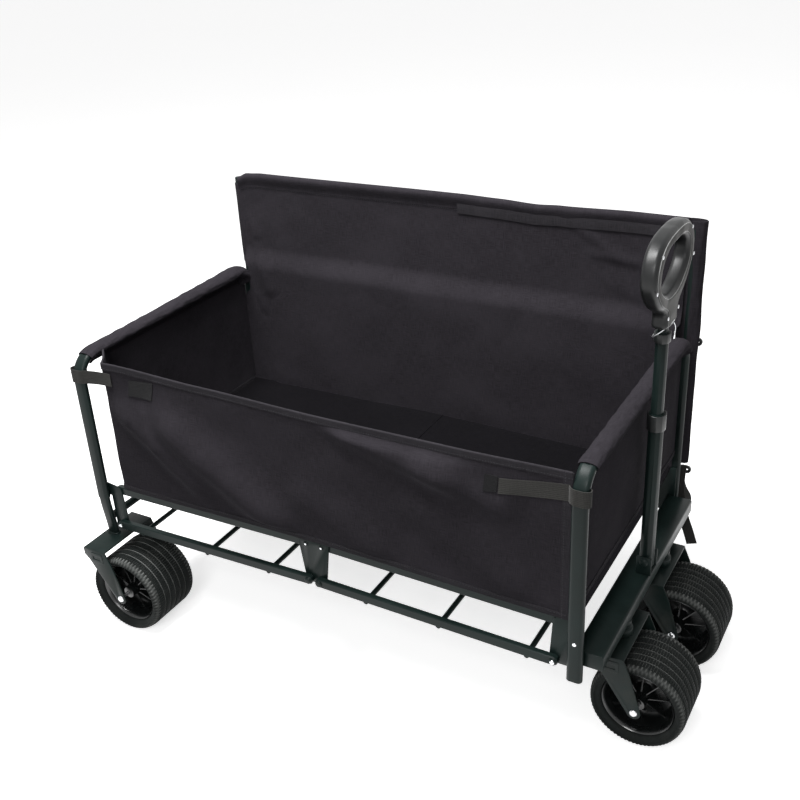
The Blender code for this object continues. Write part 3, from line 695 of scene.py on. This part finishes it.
def ease(value, low, high):
    t = max(0.0, min(1.0, (value - low) / (high - low)))
    return t * t * (3 - 2 * t)


def line_value(points, x):
    """Height of a line of (x, z) points at x."""
    for (x0, z0), (x1, z1) in zip(points, points[1:]):
        if x <= x1:
            return z0 + (z1 - z0) * ease(x, x0, x1) if x > x0 else z0
    return points[-1][1]


NEAR_TOP = [(-0.47, 0.604), (-0.42, 0.606), (-0.22, 0.601), (0.05, 0.596), (0.3, 0.597),
            (0.504, 0.601)]
NEAR_FOOT = [(-0.514, 0.3165), (-0.452, 0.3225), (0.0, 0.3285), (0.504, 0.3215)]
NEAR_PLAN = spline([(-0.5145, -0.196), (-0.508, -0.211), (-0.492, -0.228), (-0.474, -0.247),
                    (-0.462, -0.263), (-0.45, -0.2692), (-0.36, -0.27), (-0.12, -0.27),
                    (0.12, -0.27), (0.36, -0.27), (NEAR_END, -0.2698)], 12)
NEAR_CREASES = [((-0.432, 0.516), (-0.238, 0.372), 0.034, 0.015),
                ((-0.33, 0.515), (-0.055, 0.335), 0.046, 0.022),
                ((0.06, 0.588), (0.302, 0.53), 0.034, 0.015),
                ((0.23, 0.556), (0.4, 0.5), 0.034, 0.0095),
                ((-0.372, 0.53), (-0.335, 0.44), 0.02, 0.0048),
                ((0.412, 0.53), (0.462, 0.349), 0.022, -0.0036),
                ((0.21, 0.47), (0.42, 0.352), 0.05, 0.0075),
                ((-0.03, 0.43), (0.16, 0.345), 0.046, 0.0066)]


def along(path, s):
    """Point at a share s of a path's length, and its direction."""
    lengths = [0.0]
    for a, b in zip(path, path[1:]):
        lengths.append(lengths[-1] + (b - a).length)
    want = s * lengths[-1]
    for k, (a, b) in enumerate(zip(path, path[1:])):
        if want <= lengths[k + 1] or k == len(path) - 2:
            t = (want - lengths[k]) / max(lengths[k + 1] - lengths[k], 1e-9)
            return a.lerp(b, t), (b - a).normalized()


def length_of(path):
    return sum((b - a).length for a, b in zip(path, path[1:]))


NEAR_LENGTH = length_of(NEAR_PLAN)


@functools.cache
def near_plan(s):
    return along(NEAR_PLAN, s)


def near_wall(s, t):
    """The low cloth on the near side, turned in at the rear post."""
    point, ahead = near_plan(s)
    x = point.x
    foot = line_value(NEAR_FOOT, x)
    z = foot + (line_value(NEAR_TOP, x) - foot) * t
    out = creased((x, z), NEAR_CREASES)
    out += 0.004 * ripple(x, z, 6.0, 1.0) + 0.0018 * ripple(x, z, 17.0, 4.0)
    out *= ease(t, 0.0, 0.1) * ease(1.0 - t, 0.03, 0.11) * ease(NEAR_END - x, 0.0, 0.05)
    out *= ease(x, -0.51, -0.44)
    normal = Vector((ahead.y, -ahead.x))
    return Vector((point.x + normal.x * out, point.y + normal.y * out, z))


BACK_TOP = [(-0.51, 0.8135), (-0.485, 0.823), (-0.445, 0.8255), (0.049, 0.829), (0.13, 0.8275),
            (0.211, 0.8245), (0.262, 0.827), (0.419, 0.831), (0.51, 0.831)]
BACK_CREASES = [((0.325, 0.747), (0.424, 0.738), 0.012, 0.003),
                ((0.262, 0.818), (0.385, 0.743), 0.014, 0.0028),
                ((-0.5, 0.735), (-0.476, 0.68), 0.016, 0.0046),
                ((-0.484, 0.672), (-0.44, 0.552), 0.022, 0.0052),
                ((-0.496, 0.63), (-0.462, 0.5), 0.018, 0.004),
                ((-0.491, 0.699), (-0.348, 0.75), 0.034, 0.0018),
                ((-0.47, 0.61), (-0.327, 0.695), 0.036, 0.002),
                ((0.36, 0.7), (0.495, 0.64), 0.022, 0.0026),
                ((-0.2, 0.64), (0.1, 0.56), 0.05, 0.0024),
                ((0.18, 0.56), (0.4, 0.48), 0.05, 0.0022)]
BACK_FOOT = [(-0.516, 0.3237), (-0.464, 0.3237), (-0.44, 0.314), (-0.07, 0.317), (-0.045, 0.3265),
             (0.045, 0.3265), (0.07, 0.317), (0.44, 0.314), (0.464, 0.3237), (0.516, 0.3237)]


def back_wall(s, t):
    """The tall back: narrower at the bends of the end frames, and further out above them."""
    low, high = 0.325, 0.829
    z = low + (high - low) * t
    half = 0.516 - 0.0155 * ease(z, 0.55, 0.566) + 0.0085 * ease(z, 0.619, 0.632)
    x = -half + 2 * half * s
    foot = line_value(BACK_FOOT, x)
    z = foot + (line_value(BACK_TOP, x) - foot) * t
    y = 0.2652 + 0.0154 * ease(z, 0.61, 0.662)
    out = creased((x, z), BACK_CREASES)
    out += 0.0024 * ripple(x, z, 5.0, 11.0) + 0.0008 * ripple(x, z, 17.0, 14.0)
    out *= ease(t, 0.0, 0.08) * ease(1.0 - t, 0.0, 0.05) * ease(half - abs(x), 0.0, 0.04)
    return Vector((x, y - abs(out) * 0.9, z))


def end_wall(x, foot, bulge, seed, near=-WALL_HALF):
    """Cloth end wall inside its frame, from the line near to the far post."""
    top = TOP_Z - TUBE_D / 2 - 0.0012
    inner = BEND_R - TUBE_D / 2

    def place(s, t):
        z = foot + (top - foot) * t
        half = WALL_HALF
        rise = z - (top - inner)
        if rise > 0:
            half -= inner - math.sqrt(max(inner * inner - rise * rise, 0.0))
        low = max(near, -half)
        y = low + (half - low) * s
        out = bulge * math.sin(math.pi * s) * math.sin(math.pi * t)
        out += 0.003 * ripple(y, z, 7.0, seed) + 0.0012 * ripple(y, z, 20.0, seed + 3)
        out *= ease(t, 0.0, 0.1) * ease(1 - t, 0.0, 0.1) * ease(half - abs(y), 0.0, 0.05)
        return Vector((x + out, y, z))

    return place


def bar_sleeve(x, near_turn, far_turn, wide0, wide1, seed):
    """Loose tube of cloth over a top bar and part of its bends, with its seam below the bar."""
    inner, centre = POST_Y - BEND_R, TOP_Z - BEND_R
    route = [Vector(p) for p in arc((-inner, centre), BEND_R, 90 + near_turn, 90, 6)]
    route += [Vector((y / 20 * inner, TOP_Z)) for y in range(-18, 19, 2)]
    route += [Vector(p) for p in arc((inner, centre), BEND_R, 90, 90 - far_turn, 10)]

    def place(s, t):
        point, ahead = along(route, s)
        wide = wide0 + (wide1 - wide0) * s * s
        a = 2 * math.pi * t
        loose = 1.0 + 0.11 * ripple(s * 4, t * 2, 7.0, seed) * (0.4 + 0.6 * math.sin(a / 2))
        u = math.sin(a) * (TUBE_W / 2 + wide) * loose
        v = -math.cos(a) * (TUBE_D / 2 + wide) * loose
        v -= 0.01 * math.exp(-(min(t, 1 - t) / 0.07) ** 2)
        return Vector((x + u, point.x - ahead.y * v, point.y + ahead.x * v))

    return place


def post_sleeve(centre, half, low, high, seed):
    """Flattened tube of cloth round an upright at the back."""

    def place(s, t):
        a = 2 * math.pi * s
        z = low + (high - low) * t
        fold = 1.0 + 0.14 * ripple(math.cos(a), z * 2, 6.0, seed)
        return Vector((centre[0] + math.cos(a) * half[0] * fold,
                       centre[1] + math.sin(a) * half[1] * fold, z))

    return place


def at_edge(wall, side, q, depth=0.0):
    """Point of a wall at a share q of one edge, a share depth in from it."""
    s, t = {"top": (q, 1 - depth), "foot": (q, depth), "start": (depth, q), "end": (1 - depth, q)}[side]
    return wall(s, t)


def edge_frame(wall, side, q):
    """Point on an edge, the way into the cloth, and the way out of its face."""
    point = at_edge(wall, side, q)
    into = (at_edge(wall, side, q, 0.03) - point).normalized()
    ahead = at_edge(wall, side, min(q + 0.004, 1.0)) - at_edge(wall, side, max(q - 0.004, 0.0))
    out = into.cross(ahead).normalized()
    return point, into, out if side in ("foot", "end") else -out


def taped(wall, side, drop, puff):
    """Tape folded over one edge of a cloth wall, puffed out at the edge where puff is given."""
    tight = (CLOTH + TAPE) / 2 + 0.0001
    gap = tight + puff
    turn = math.pi * gap

    @functools.cache
    def frame_at(q):
        return edge_frame(wall, side, q)

    def place(q, t):
        point, into, out = frame_at(q)
        length = t * (2 * drop + turn)
        if length < drop:
            return point + out * (tight + puff * ease(length, 0.0, drop)) + into * (drop - length)
        if length < drop + turn:
            a = (length - drop) / gap
            return point + out * gap * math.cos(a) - into * gap * math.sin(a)
        left = 2 * drop + turn - length
        return point - out * (tight + puff * ease(left, 0.0, drop)) + into * (drop - left)

    return place


def tape(name, wall, side, drop, length, body="rear_frame", folds=False, seam=0.25, puff=0.0,
         material=HEM):
    """Hem tape on a wall's edge, with a row of stitches on each face."""
    bm = bmesh.new()
    shell(bm, taped(wall, side, drop, puff), (150, 26), (length, 2 * drop + 0.005), TAPE)
    band = add(name, bm, body, material, angle=60.0)
    rows = []
    for face in (1, -1):
        rows.append([])
        for i in range(121):
            point, into, out = edge_frame(wall, side, i / 120)
            rows[-1].append(point + into * drop * (1 - seam) + out * face * (CLOTH / 2 + 0.00135))
    thread = stitches(name + "_stitches", body, rows)
    if folds:
        fold_flat(band)
        fold_flat(thread)
    return [band, thread]


def laid(corners):
    """Strip laid on the near cloth between four (x, z) corners."""

    def place(s, t):
        low = Vector(corners[0]).lerp(Vector(corners[1]), s)
        high = Vector(corners[3]).lerp(Vector(corners[2]), s)
        x, z = low.lerp(high, t)
        foot = line_value(NEAR_FOOT, x)
        share = (z - foot) / (line_value(NEAR_TOP, x) - foot)
        return near_wall(1 - (NEAR_END - x) / NEAR_LENGTH, share) - Vector((0, 0.0019, 0))

    return place


def loop_round(plan, low, high):
    """Webbing on edge along a plan line, with its two heights changing from start to end."""
    line = spline(plan, 6)

    def place(s, t):
        point, _ = along(line, s)
        foot, top = (a + (b - a) * s for a, b in (low, high))
        return Vector((point.x, point.y, foot + (top - foot) * t))

    return place, length_of(line)


def ribbon(points, wide, across):
    """Webbing along a route, with the way across it given."""
    line = spline(points, 8)

    def place(s, t):
        return along(line, s)[0] + Vector(across) * wide * (t - 0.5)

    return place, length_of(line)


FLOOR_FOLDS = [((-0.15, 0.262), (-0.01, 0.226), 0.018, 0.005),
               ((0.061, 0.25), (0.345, 0.24), 0.014, 0.004),
               ((-0.33, 0.12), (-0.08, 0.06), 0.03, 0.0022)]


def floor_board(end):
    """Cloth-covered board of one half of the floor, with its seam lines."""
    low_z, high_z, above = 0.3155, 0.3245, 0.0033
    pin, run = 0.017, 0.468
    inner, outer = 0.0006, 0.5142
    near_edge, far_edge, cut_corner = -0.2645, 0.2628, 0.4545

    def place(s, t):
        d = inner + (outer - inner) * s
        x = end * d
        low = near_edge + (max(0.0, d - cut_corner) if end < 0 else 0.0)
        y = low + (far_edge - low) * t
        z = high_z + (low_z - high_z) * (d - pin) / run + above
        dip = -0.001 * math.exp(-((d - 0.016) / 0.004) ** 2)
        edge = min(t, 1 - t) * FLOOR_W
        dip -= 0.0009 * math.exp(-((edge - 0.014) / 0.003) ** 2)
        lift = creased((x, y), FLOOR_FOLDS)
        lift *= ease(edge, 0.0, 0.02)
        lift += 0.0042 * ease(t, 0.962, 0.995) * ease(d, 0.44, 0.462)
        lift = (lift + 0.001 * ripple(x, y, 9.0, 21.0)) * ease(d, 0.001, 0.012)
        return Vector((x, y, z + dip + lift))

    return place


# Pieces


def end_frames():
    inner = POST_Y - BEND_R
    for name, x, foot in (("rear_frame", -POST_X, REAR_POST_Z), ("front_frame", POST_X, FRONT_POST_Z)):
        path = [(x, -POST_Y, foot), (x, -POST_Y, foot + 0.02)]
        path += [(x, y, z) for y, z in arc((-inner, TOP_Z - BEND_R), BEND_R, 180, 90, 14)]
        path += [(x, y, z) for y, z in arc((inner, TOP_Z - BEND_R), BEND_R, 90, 0, 14)]
        path += [(x, POST_Y, foot + 0.02), (x, POST_Y, foot)]
        add(name + "_tube", swept(path, flat_oval(TUBE_W, TUBE_D), lip=0.008), name, PAINT, [name])


def rear_legs():
    """The smaller tubes out of the rear posts, welded to their hoods."""
    for word, side in SIDES:
        path = [(-POST_X, side * POST_Y, REAR_POST_Z + 0.006)]
        for i in range(15):
            t = i / 14
            path.append((-POST_X, side * (POST_Y - (POST_Y - LEG_FOOT_Y) * ease(t, 0.0, 1.0)),
                         REAR_POST_Z - 0.0003 + (HOOD_Z - REAR_POST_Z + 0.0006) * t))
        add("rear_leg_%s_tube" % word, swept(path, flat_oval(LEG_W, LEG_D)), "rear_frame", PAINT,
            ["rear_leg_" + word])
        bm = bmesh.new()
        ring = [Vector((-POST_X + u, side * LEG_FOOT_Y + v, HOOD_Z + 0.0012))
                for u, v in flat_oval(LEG_W + 0.003, LEG_D + 0.003, 10)]
        bead(bm, ring, 0.0018, 0.25)
        add("rear_leg_%s_weld" % word, bm, "rear_frame", PAINT)


def bead(bm, ring, radius, rough=0.0, closed=True):
    """A round bead along a ring of points, lumpy where rough is given."""
    last = len(ring) - 1
    rings = []
    for i, point in enumerate(ring):
        before, after = (i - 1, (i + 1) % len(ring)) if closed else (max(i - 1, 0), min(i + 1, last))
        ahead = (ring[after] - ring[before]).normalized()
        up = Vector((0, 0, 1)) if abs(ahead.z) < 0.9 else Vector((1, 0, 0))
        other = ahead.cross(up).normalized()
        up = other.cross(ahead)
        r = radius * (1 + rough * noise.noise(point * 400))
        rings.append([bm.verts.new(point + other * r * u + up * r * v)
                      for u, v in arc((0, 0), 1.0, 0, 315, 7)])
    skin(bm, rings, closed)


def tread_block(width, length, height):
    """One rubber block: wide foot, smaller top, on the +Z side of the wheel's rim line."""
    bm = bmesh.new()
    rows = []
    for z, share in ((-0.001, 1.0), (height * 0.6, 0.94), (height, 0.8)):
        x, y = length / 2 * share, width / 2 * share
        rows.append([bm.verts.new((*at, z)) for at in ((-x, -y), (x, -y), (x, y), (-x, y))])
    skin(bm, rows)
    return bm


def wheels():
    half = TYRE_W / 2
    seat = half - 0.012
    r = WHEEL_R - 0.002
    flank = [(RIM_R + 0.0003, 0.0), (RIM_R + 0.0003, seat - 0.002), (RIM_R + 0.001, seat + 0.001),
             (RIM_R + 0.004, seat + 0.0045), (RIM_R + 0.0065, seat + 0.0055),
             (RIM_R + 0.0085, seat + 0.0065), (RIM_R + 0.0105, seat + 0.01),
             (r - 0.0085, half - 0.0008), (r - 0.005, half - 0.0012), (r - 0.0022, half - 0.0042),
             (r - 0.0005, half - 0.01), (r, half - 0.016)]
    profile = flank + [(radius, -y) for radius, y in flank[:0:-1]]
    wall = RIM_R - 0.0003
    barrel = [(0.0045, half - 0.012), (0.0105, half - 0.012), (0.0125, half - 0.0135), (0.014, 0.03),
              (0.0165, 0.006), (0.02, 0.0035), (wall - 0.013, 0.003), (wall - 0.0095, 0.006),
              (wall - 0.007, 0.012), (wall - 0.006, seat - 0.01), (wall - 0.0048, seat - 0.005),
              (wall - 0.0024, seat - 0.0012), (wall - 0.001, seat), (wall, seat - 0.001)]
    rim_line = barrel + [(radius, -y) for radius, y in barrel[::-1]]
    for place, x, track in (("rear", REAR_HOOD_X, REAR_TRACK), ("front", FRONT_HOOD_X, FRONT_TRACK)):
        for word, side in SIDES:
            prefix = "%s_%s" % (place, word)
            body = "%s_wheel_%s" % (place, word)
            centre = (x + RAKE, side * track, WHEEL_R)
            bm = turned(profile, centre, 96)
            groove = bm.verts.layers.float.new("groove")
            for vertex in bm.verts:
                reach = math.hypot(vertex.co.x - centre[0], vertex.co.z - centre[2])
                vertex[groove] = ease(reach, r - 0.003, r - 0.0004)
            add(prefix + "_tyre_body", bm, body, TYRE, [prefix + "_tyre"])
            at = {"centre_x": centre[0], "centre_y": centre[1]}
            TREAD.grow(prefix + "_tread", tread_block(0.0138, 0.0046, 0.002), body, count=104,
                       rows=6, radius=r, pitch=0.016, **at)
            TREAD.grow(prefix + "_shoulders", shoulder_teeth(half, r), body, count=70, rows=1,
                       radius=0.0, **at)
            add(prefix + "_rim_body", turned(rim_line, centre, 72), body, RIM, [prefix + "_rim"])
            RIBS.grow(prefix + "_rim_ribs", rim_rib(wall), body, count=8, rows=1, radius=0.0, **at)


def shoulder_teeth(half, r):
    """A pair of short teeth, one on each shoulder, with chamfered flanks."""
    bm = bmesh.new()
    groove = bm.verts.layers.float.new("groove")
    outline = [(half - 0.015, r + 0.0014), (half - 0.01, r + 0.0008), (half - 0.0044, r - 0.0012),
               (half - 0.0002, r - 0.0048), (half - 0.0006, r - 0.0072), (half - 0.006, r - 0.008),
               (half - 0.014, r - 0.002)]
    for side in (1, -1):
        rings = []
        for x, sink in ((-0.0023, 0.0012), (-0.0012, 0.0), (0.0012, 0.0), (0.0023, 0.0012)):
            rings.append([bm.verts.new((x, side * (y - sink * 0.6), z - sink)) for y, z in outline])
            for vertex, pale in zip(rings[-1], (0.0, 0.2, 0.8, 0.1, 0.0, 0.0, 0.0)):
                vertex[groove] = pale
        skin(bm, rings)
    return bm


def rim_rib(wall):
    """One stiffening rib, right through the rim from face to face."""
    bm = bmesh.new()
    outline = [(0.0125, 0.031), (0.016, 0.0285), (wall - 0.01, 0.0165), (wall - 0.006, 0.015)]
    outline += [(radius, -across) for radius, across in outline[::-1]]
    sides = []
    for w, shrink in ((-0.0012, 0.0005), (-0.0007, 0.0), (0.0007, 0.0), (0.0012, 0.0005)):
        sides.append([bm.verts.new((w, across - math.copysign(shrink, across), radius))
                      for radius, across in outline])
    skin(bm, sides)
    return bm


def hard_nodes():
    """Nodes whose CAD shape only needs round edges and a finish."""
    for word, _ in SIDES:
        for place in ("rear", "front"):
            dressed("%s_hood_%s" % (place, word), PAINT, 0.0009)
            dressed("%s_ear_%s" % (place, word), PAINT, 0.0005)
            dressed("%s_upper_rail_%s" % (place, word), PAINT, 0.0)
            dressed("%s_%s_axle" % (place, word), ZINC, 0.0004)
        dressed("centre_bracket_" + word, PAINT, 0.0005)
        dressed("kingpin_" + word, PAINT, 0.0006)
    for bevel, nodes in ((0.0, ("rear_base", "front_base")),
                         (0.0008, ("rear_cross_tube", "rear_stanchion", "front_stanchion", "front_beam")),
                         (0.0006, ("handle_base",)),
                         (0.0004, ("handle_outer", "handle_middle", "handle_inner"))):
        for node in nodes:
            dressed(node, PAINT, bevel)
    dressed("lower_collar", PLASTIC, 0.0008)
    dressed("upper_collar", PLASTIC, 0.0006)


def fastenings():
    """Plated rivet heads on the frames, the posts and the centre bracket."""
    for word, side in SIDES:
        out = (0, side, 0)
        for place, end in (("rear", -1), ("front", 1)):
            rivets("%s_rivets_%s" % (place, word), place + "_frame",
                   [((end * LOW_PIVOT_X, side * 0.2826, LOW_PIVOT_Z), out, 0.0044)])
        rivets("front_post_rivet_" + word, "front_frame",
               [((POST_X, side * (POST_Y + TUBE_D / 2 - 0.0003), 0.283), out, 0.0038)])
        rivets("bracket_rivets_" + word, "centre_bracket",
               [((x, side * 0.2671, 0.315), out, 0.004) for x in (-0.017, 0.017)], 0.7)


def hood_badges():
    """Pressed square with a slot, near the top of each hood's outer arm."""
    w, h = 0.0125, 0.0085
    square = []
    for u, v, start in ((w, h, 0), (-w, h, 90), (-w, -h, 180), (w, -h, 270)):
        square += arc((u, v), 0.0035, start, start + 90, 4)
    slot = [(a * 0.62, b * 0.36) for a, b in square]
    for word, side in SIDES:
        for place, x, track, body in (("rear", REAR_HOOD_X, REAR_TRACK, "rear_frame"),
                                      ("front", FRONT_HOOD_X, FRONT_TRACK, "caster_" + word)):
            face = side * (track + HOOD_W / 2 + 0.0002)
            flat("%s_badge_%s" % (place, word), [square, slot], 0.0014,
                 side_on(x + 0.004, face, HOOD_Z - 0.0195), body, PAINT, 0.0006)


def grip():
    z = GRIP_Z
    right = [(0.024, z), (0.03, z + 0.028), (0.072, z + 0.055), (0.102, z + 0.094),
             (0.096, z + 0.135), (0.062, z + 0.161)]
    outline = spline([(0, z + 0.168)] + [(-y, h) for y, h in right[::-1]] + right, 10, True)
    right = [(0.036, z + 0.066), (0.072, z + 0.09), (0.072, z + 0.12), (0.042, z + 0.139)]
    hole = spline([(0, z + 0.142)] + [(-y, h) for y, h in right[::-1]] + [(0, z + 0.06)] + right,
                  10, True)
    flat("handle_grip_loop", [outline, hole], GRIP_T, end_on(HANDLE_X), "handle_grip", GRIP, 0.0085, 5,
         ["handle_grip"])
    # A thin pale strip just inside the face plate's outline: a painted highlight along the edge of the
    # face.
    flat("handle_grip_edge_line", [outline, hole], 0.0026, end_on(HANDLE_X + GRIP_T / 2 - 0.0004),
         "handle_grip", EDGE_HIGHLIGHT, 0.0004, 1, inset=0.0062)
    flat("handle_grip_face", [outline, hole], 0.003, end_on(HANDLE_X + GRIP_T / 2), "handle_grip",
         FACE, 0.0006, 2, inset=0.0074)
    spots = [(0.08, 0.89), (0.1, 0.838), (0.028, 0.77)]
    front = HANDLE_X + GRIP_T / 2 + 0.0011
    rivets("handle_grip_screws", "handle_grip",
           [((front, side * y, h), (1, 0, 0), 0.0032) for y, h in spots for side in (-1, 1)], 0.35)


def walls():
    rear_wall = end_wall(-POST_X, REAR_FOOT, -0.006, 31.0, -0.205)
    front_wall = end_wall(POST_X, FRONT_FOOT, 0.006, 37.0)
    near_hems = []
    for side, length, drop in (("foot", NEAR_LENGTH, 0.01), ("end", 0.281, 0.015),
                               ("top", NEAR_LENGTH, 0.0125)):
        near_hems += tape("near_hem_" + side, near_wall, side, drop, length, folds=True)
    sheet("near_cloth", near_wall, (280, 84), (NEAR_LENGTH, 0.281),
          replaces=["near_panel"], folds=True, with_pieces=near_hems)
    sheet("back_cloth", back_wall, (240, 110), (1.03, 0.494),
          replaces=["back_panel"], folds=True,
          with_pieces=tape("back_hem_top", back_wall, "top", 0.024, 1.02, folds=True, seam=-0.05,
                           puff=0.0055, material=WOVEN))
    sheet("back_top_flap", back_flap, (120, 12), (0.474, 0.036), material=HEM,
          thickness=0.0012, folds=True)
    sheet("rear_cloth", rear_wall, (80, 44), (0.47, 0.278),
          replaces=["rear_panel"],
          with_pieces=tape("rear_hem_foot", rear_wall, "foot", 0.01, 0.47))
    sheet("front_cloth", front_wall, (80, 40), (0.531, 0.244), "front_frame",
          replaces=["front_panel"],
          with_pieces=tape("front_hem_foot", front_wall, "foot", 0.01, 0.53, "front_frame")
          + tape("front_hem_near", front_wall, "start", 0.014, 0.24, "front_frame"))
    sheet("rear_sleeve", bar_sleeve(-POST_X, 27.0, 62.0, 0.0024, 0.0072, 41.0), (110, 44),
          (0.53, 0.09))
    sheet("front_sleeve", bar_sleeve(POST_X, 20.0, 58.0, 0.0026, 0.0046, 47.0), (110, 44),
          (0.52, 0.09), "front_frame")
    sheet("rear_post_sleeve",
          post_sleeve((-0.513, 0.2912), (0.0142, 0.0104), 0.618, 0.803, 53.0), (48, 60),
          (0.075, 0.185))
    sheet("front_post_sleeve",
          post_sleeve((0.5185, 0.2948), (0.0218, 0.0106), 0.325, 0.831, 57.0), (48, 120),
          (0.105, 0.506), "front_frame")


def back_flap(s, t):
    """The folded-over top of the back cloth, from the middle to the front."""
    x = 0.041 + 0.4675 * s
    z = line_value(BACK_TOP, x) + 0.0035 - 0.036 * (1 - t)
    return Vector((x, 0.2806 - 0.0034 - 0.0012 * math.sin(math.pi * t), z))


def straps():
    """Webbing patches and straps that tie the near cloth to the posts."""
    for name, corners, cells, size, material in (
            ("rear_patch", [(-0.399, 0.548), (-0.339, 0.55), (-0.331, 0.5876), (-0.392, 0.582)],
             (14, 8), (0.06, 0.034), PATCH),
            ("front_patch", [(0.355, 0.536), (0.378, 0.538), (0.379, 0.566), (0.356, 0.565)],
             (14, 8), (0.023, 0.029), PATCH),
            ("front_strap_sewn",
             [(0.381, 0.5365), (0.5, 0.551), (0.5, 0.581), (0.381, 0.5635)],
             (30, 8), (0.119, 0.028), STRAP)):
        sheet(name, laid(corners), cells, size, material=material,
              thickness=WEBBING, folds=True)
    front_loop = [(0.499, 0.0008), (0.5035, -0.005), (0.51, -0.0084), (0.518, -0.0087),
                  (0.527, -0.0084), (0.5345, -0.0042), (0.5345, 0.003), (0.527, 0.0084),
                  (0.518, 0.0087), (0.508, 0.0084), (0.501, 0.0055)]
    rear_loop = [(-0.437, 0.0022), (-0.47, 0.0012), (-0.496, -0.004), (-0.506, -0.0084),
                 (-0.518, -0.0087), (-0.528, -0.0084), (-0.5345, -0.003), (-0.5335, 0.006),
                 (-0.525, 0.0087), (-0.512, 0.0086), (-0.502, 0.007)]
    for place, loop, low, high, cells, wide in (
            ("front", front_loop, (0.5525, 0.5505), (0.5815, 0.58), (70, 8), 0.029),
            ("rear", rear_loop, (0.56, 0.556), (0.587, 0.585), (80, 8), 0.028)):
        route, length = loop_round([(x, y - POST_Y) for x, y in loop], low, high)
        sheet(place + "_strap_loop", route, cells, (length, wide),
              place + "_frame", STRAP, WEBBING)
    tail = [(0.531, 0.2868, 0.318), (0.53, 0.2872, 0.262), (0.54, 0.286, 0.21),
            (0.556, 0.2846, 0.168), (0.566, 0.284, 0.139)]
    turn_back = [(0.526, 0.293, 0.3), (0.536, 0.296, 0.262), (0.549, 0.295, 0.238),
                 (0.546, 0.2925, 0.214), (0.534, 0.2905, 0.226), (0.528, 0.29, 0.262),
                 (0.527, 0.2892, 0.3)]
    for name, points, wide, across, cells in (
            ("hanging_strap", tail, 0.022, (0.94, 0.0, 0.34), (40, 6)),
            ("hanging_strap_loop", turn_back, 0.02, (0.2, 0.97, 0.1), (60, 6))):
        route, length = ribbon(points, wide, across)
        sheet(name, route, cells, (length, wide), "front_frame", STRAP, 0.0015)
    for name, z in (("upper_clip", 0.586), ("lower_clip", 0.3)):
        flat(name, [flat_oval(0.026, 0.017, 6), flat_oval(0.014, 0.005, 6)], 0.006,
             side_on(0.533, 0.3075, z), "front_frame", PLASTIC, 0.0014, 3)


def wire_hoop():
    """Bright wire clip under the grip's neck, with its tail hanging down."""
    bm = bmesh.new()
    ring = [Vector((HANDLE_X + v, u, 0.7405 + 0.012 * v / 0.013)) for u, v in flat_oval(0.044, 0.031, 9)]
    bead(bm, ring, 0.0008)
    tail = spline([(HANDLE_X + 0.0155, 0.004, 0.752), (HANDLE_X + 0.018, 0.007, 0.744),
                   (HANDLE_X + 0.0176, 0.008, 0.732), (HANDLE_X + 0.016, 0.0075, 0.722)], 6)
    bead(bm, tail, 0.0008, closed=False)
    add("wire_hoop", bm, "handle_middle", ZINC)


def floors():
    for node, end in (("rear_floor", -1), ("front_floor", 1)):
        bm = bmesh.new()
        shell(bm, floor_board(end), (70, 60), (FLOOR_L, FLOOR_W), 0.0056)
        # The pads carry painted shade: their cloth is darker than the walls to stand in for the shade
        # inside the basket.
        add(node + "_pad", bm, node, DECK_PAINTED_SHADE, [node], angle=50.0)


def stage():
    bm = bmesh.new()
    bmesh.ops.create_grid(bm, x_segments=1, y_segments=1, size=30.0)
    mesh = bpy.data.meshes.new("pale_floor")
    bm.to_mesh(mesh)
    bm.free()
    mesh.materials.append(floor_finish())
    piece = bpy.data.objects.new("pale_floor", mesh)
    scene.collection.objects.link(piece)


def lamp(name, place, aim, size, power):
    data = bpy.data.lights.new(name, "AREA")
    data.shape = "RECTANGLE"
    data.size, data.size_y = size
    data.energy = power
    obj = bpy.data.objects.new(name, data)
    obj.location = Vector(place) + MIDDLE
    obj.rotation_euler = (Vector(aim) - Vector(place)).to_track_quat("-Z", "Y").to_euler()
    scene.collection.objects.link(obj)


def studio():
    world = bpy.data.worlds.new("studio")
    world.use_nodes = True
    world.node_tree.nodes.clear()
    g = Graph(world.node_tree)
    fill, backdrop = 0.27, 0.96
    back = g.node("ShaderNodeBackground",
                  inputs={"Color": (1.0, 1.0, 1.0, 1.0),
                          "Strength": fill + seen(g) * (backdrop - fill)})
    g.node("ShaderNodeOutputWorld", inputs={"Surface": back})
    scene.world = world
    lamp("overhead", (-0.3, -0.5, 2.8), (0, 0, 0.3), (1.4, 1.0), 120)
    lamp("key", (0.9, -2.7, 2.4), (0, 0, 0.3), (1.1, 0.9), 44)


def camera():
    data = bpy.data.cameras.new("camera")
    data.lens = 47.78
    data.sensor_width = 36.0
    obj = bpy.data.objects.new("camera", data)
    yaw, pitch, roll = math.radians(30.54), math.radians(27.23), -0.0543
    obj.matrix_world = (Matrix.Translation(Vector((0.981, -1.585, 1.45)) + MIDDLE)
                        @ Matrix.Rotation(yaw, 4, "Z") @ Matrix.Rotation(math.pi / 2 - pitch, 4, "X")
                        @ Matrix.Rotation(roll, 4, "Z"))
    scene.collection.objects.link(obj)
    scene.camera = obj


camera()
studio()
stage()
end_frames()
rear_legs()
wheels()
hard_nodes()
fastenings()
hood_badges()
grip()
wire_hoop()
walls()
straps()
floors()
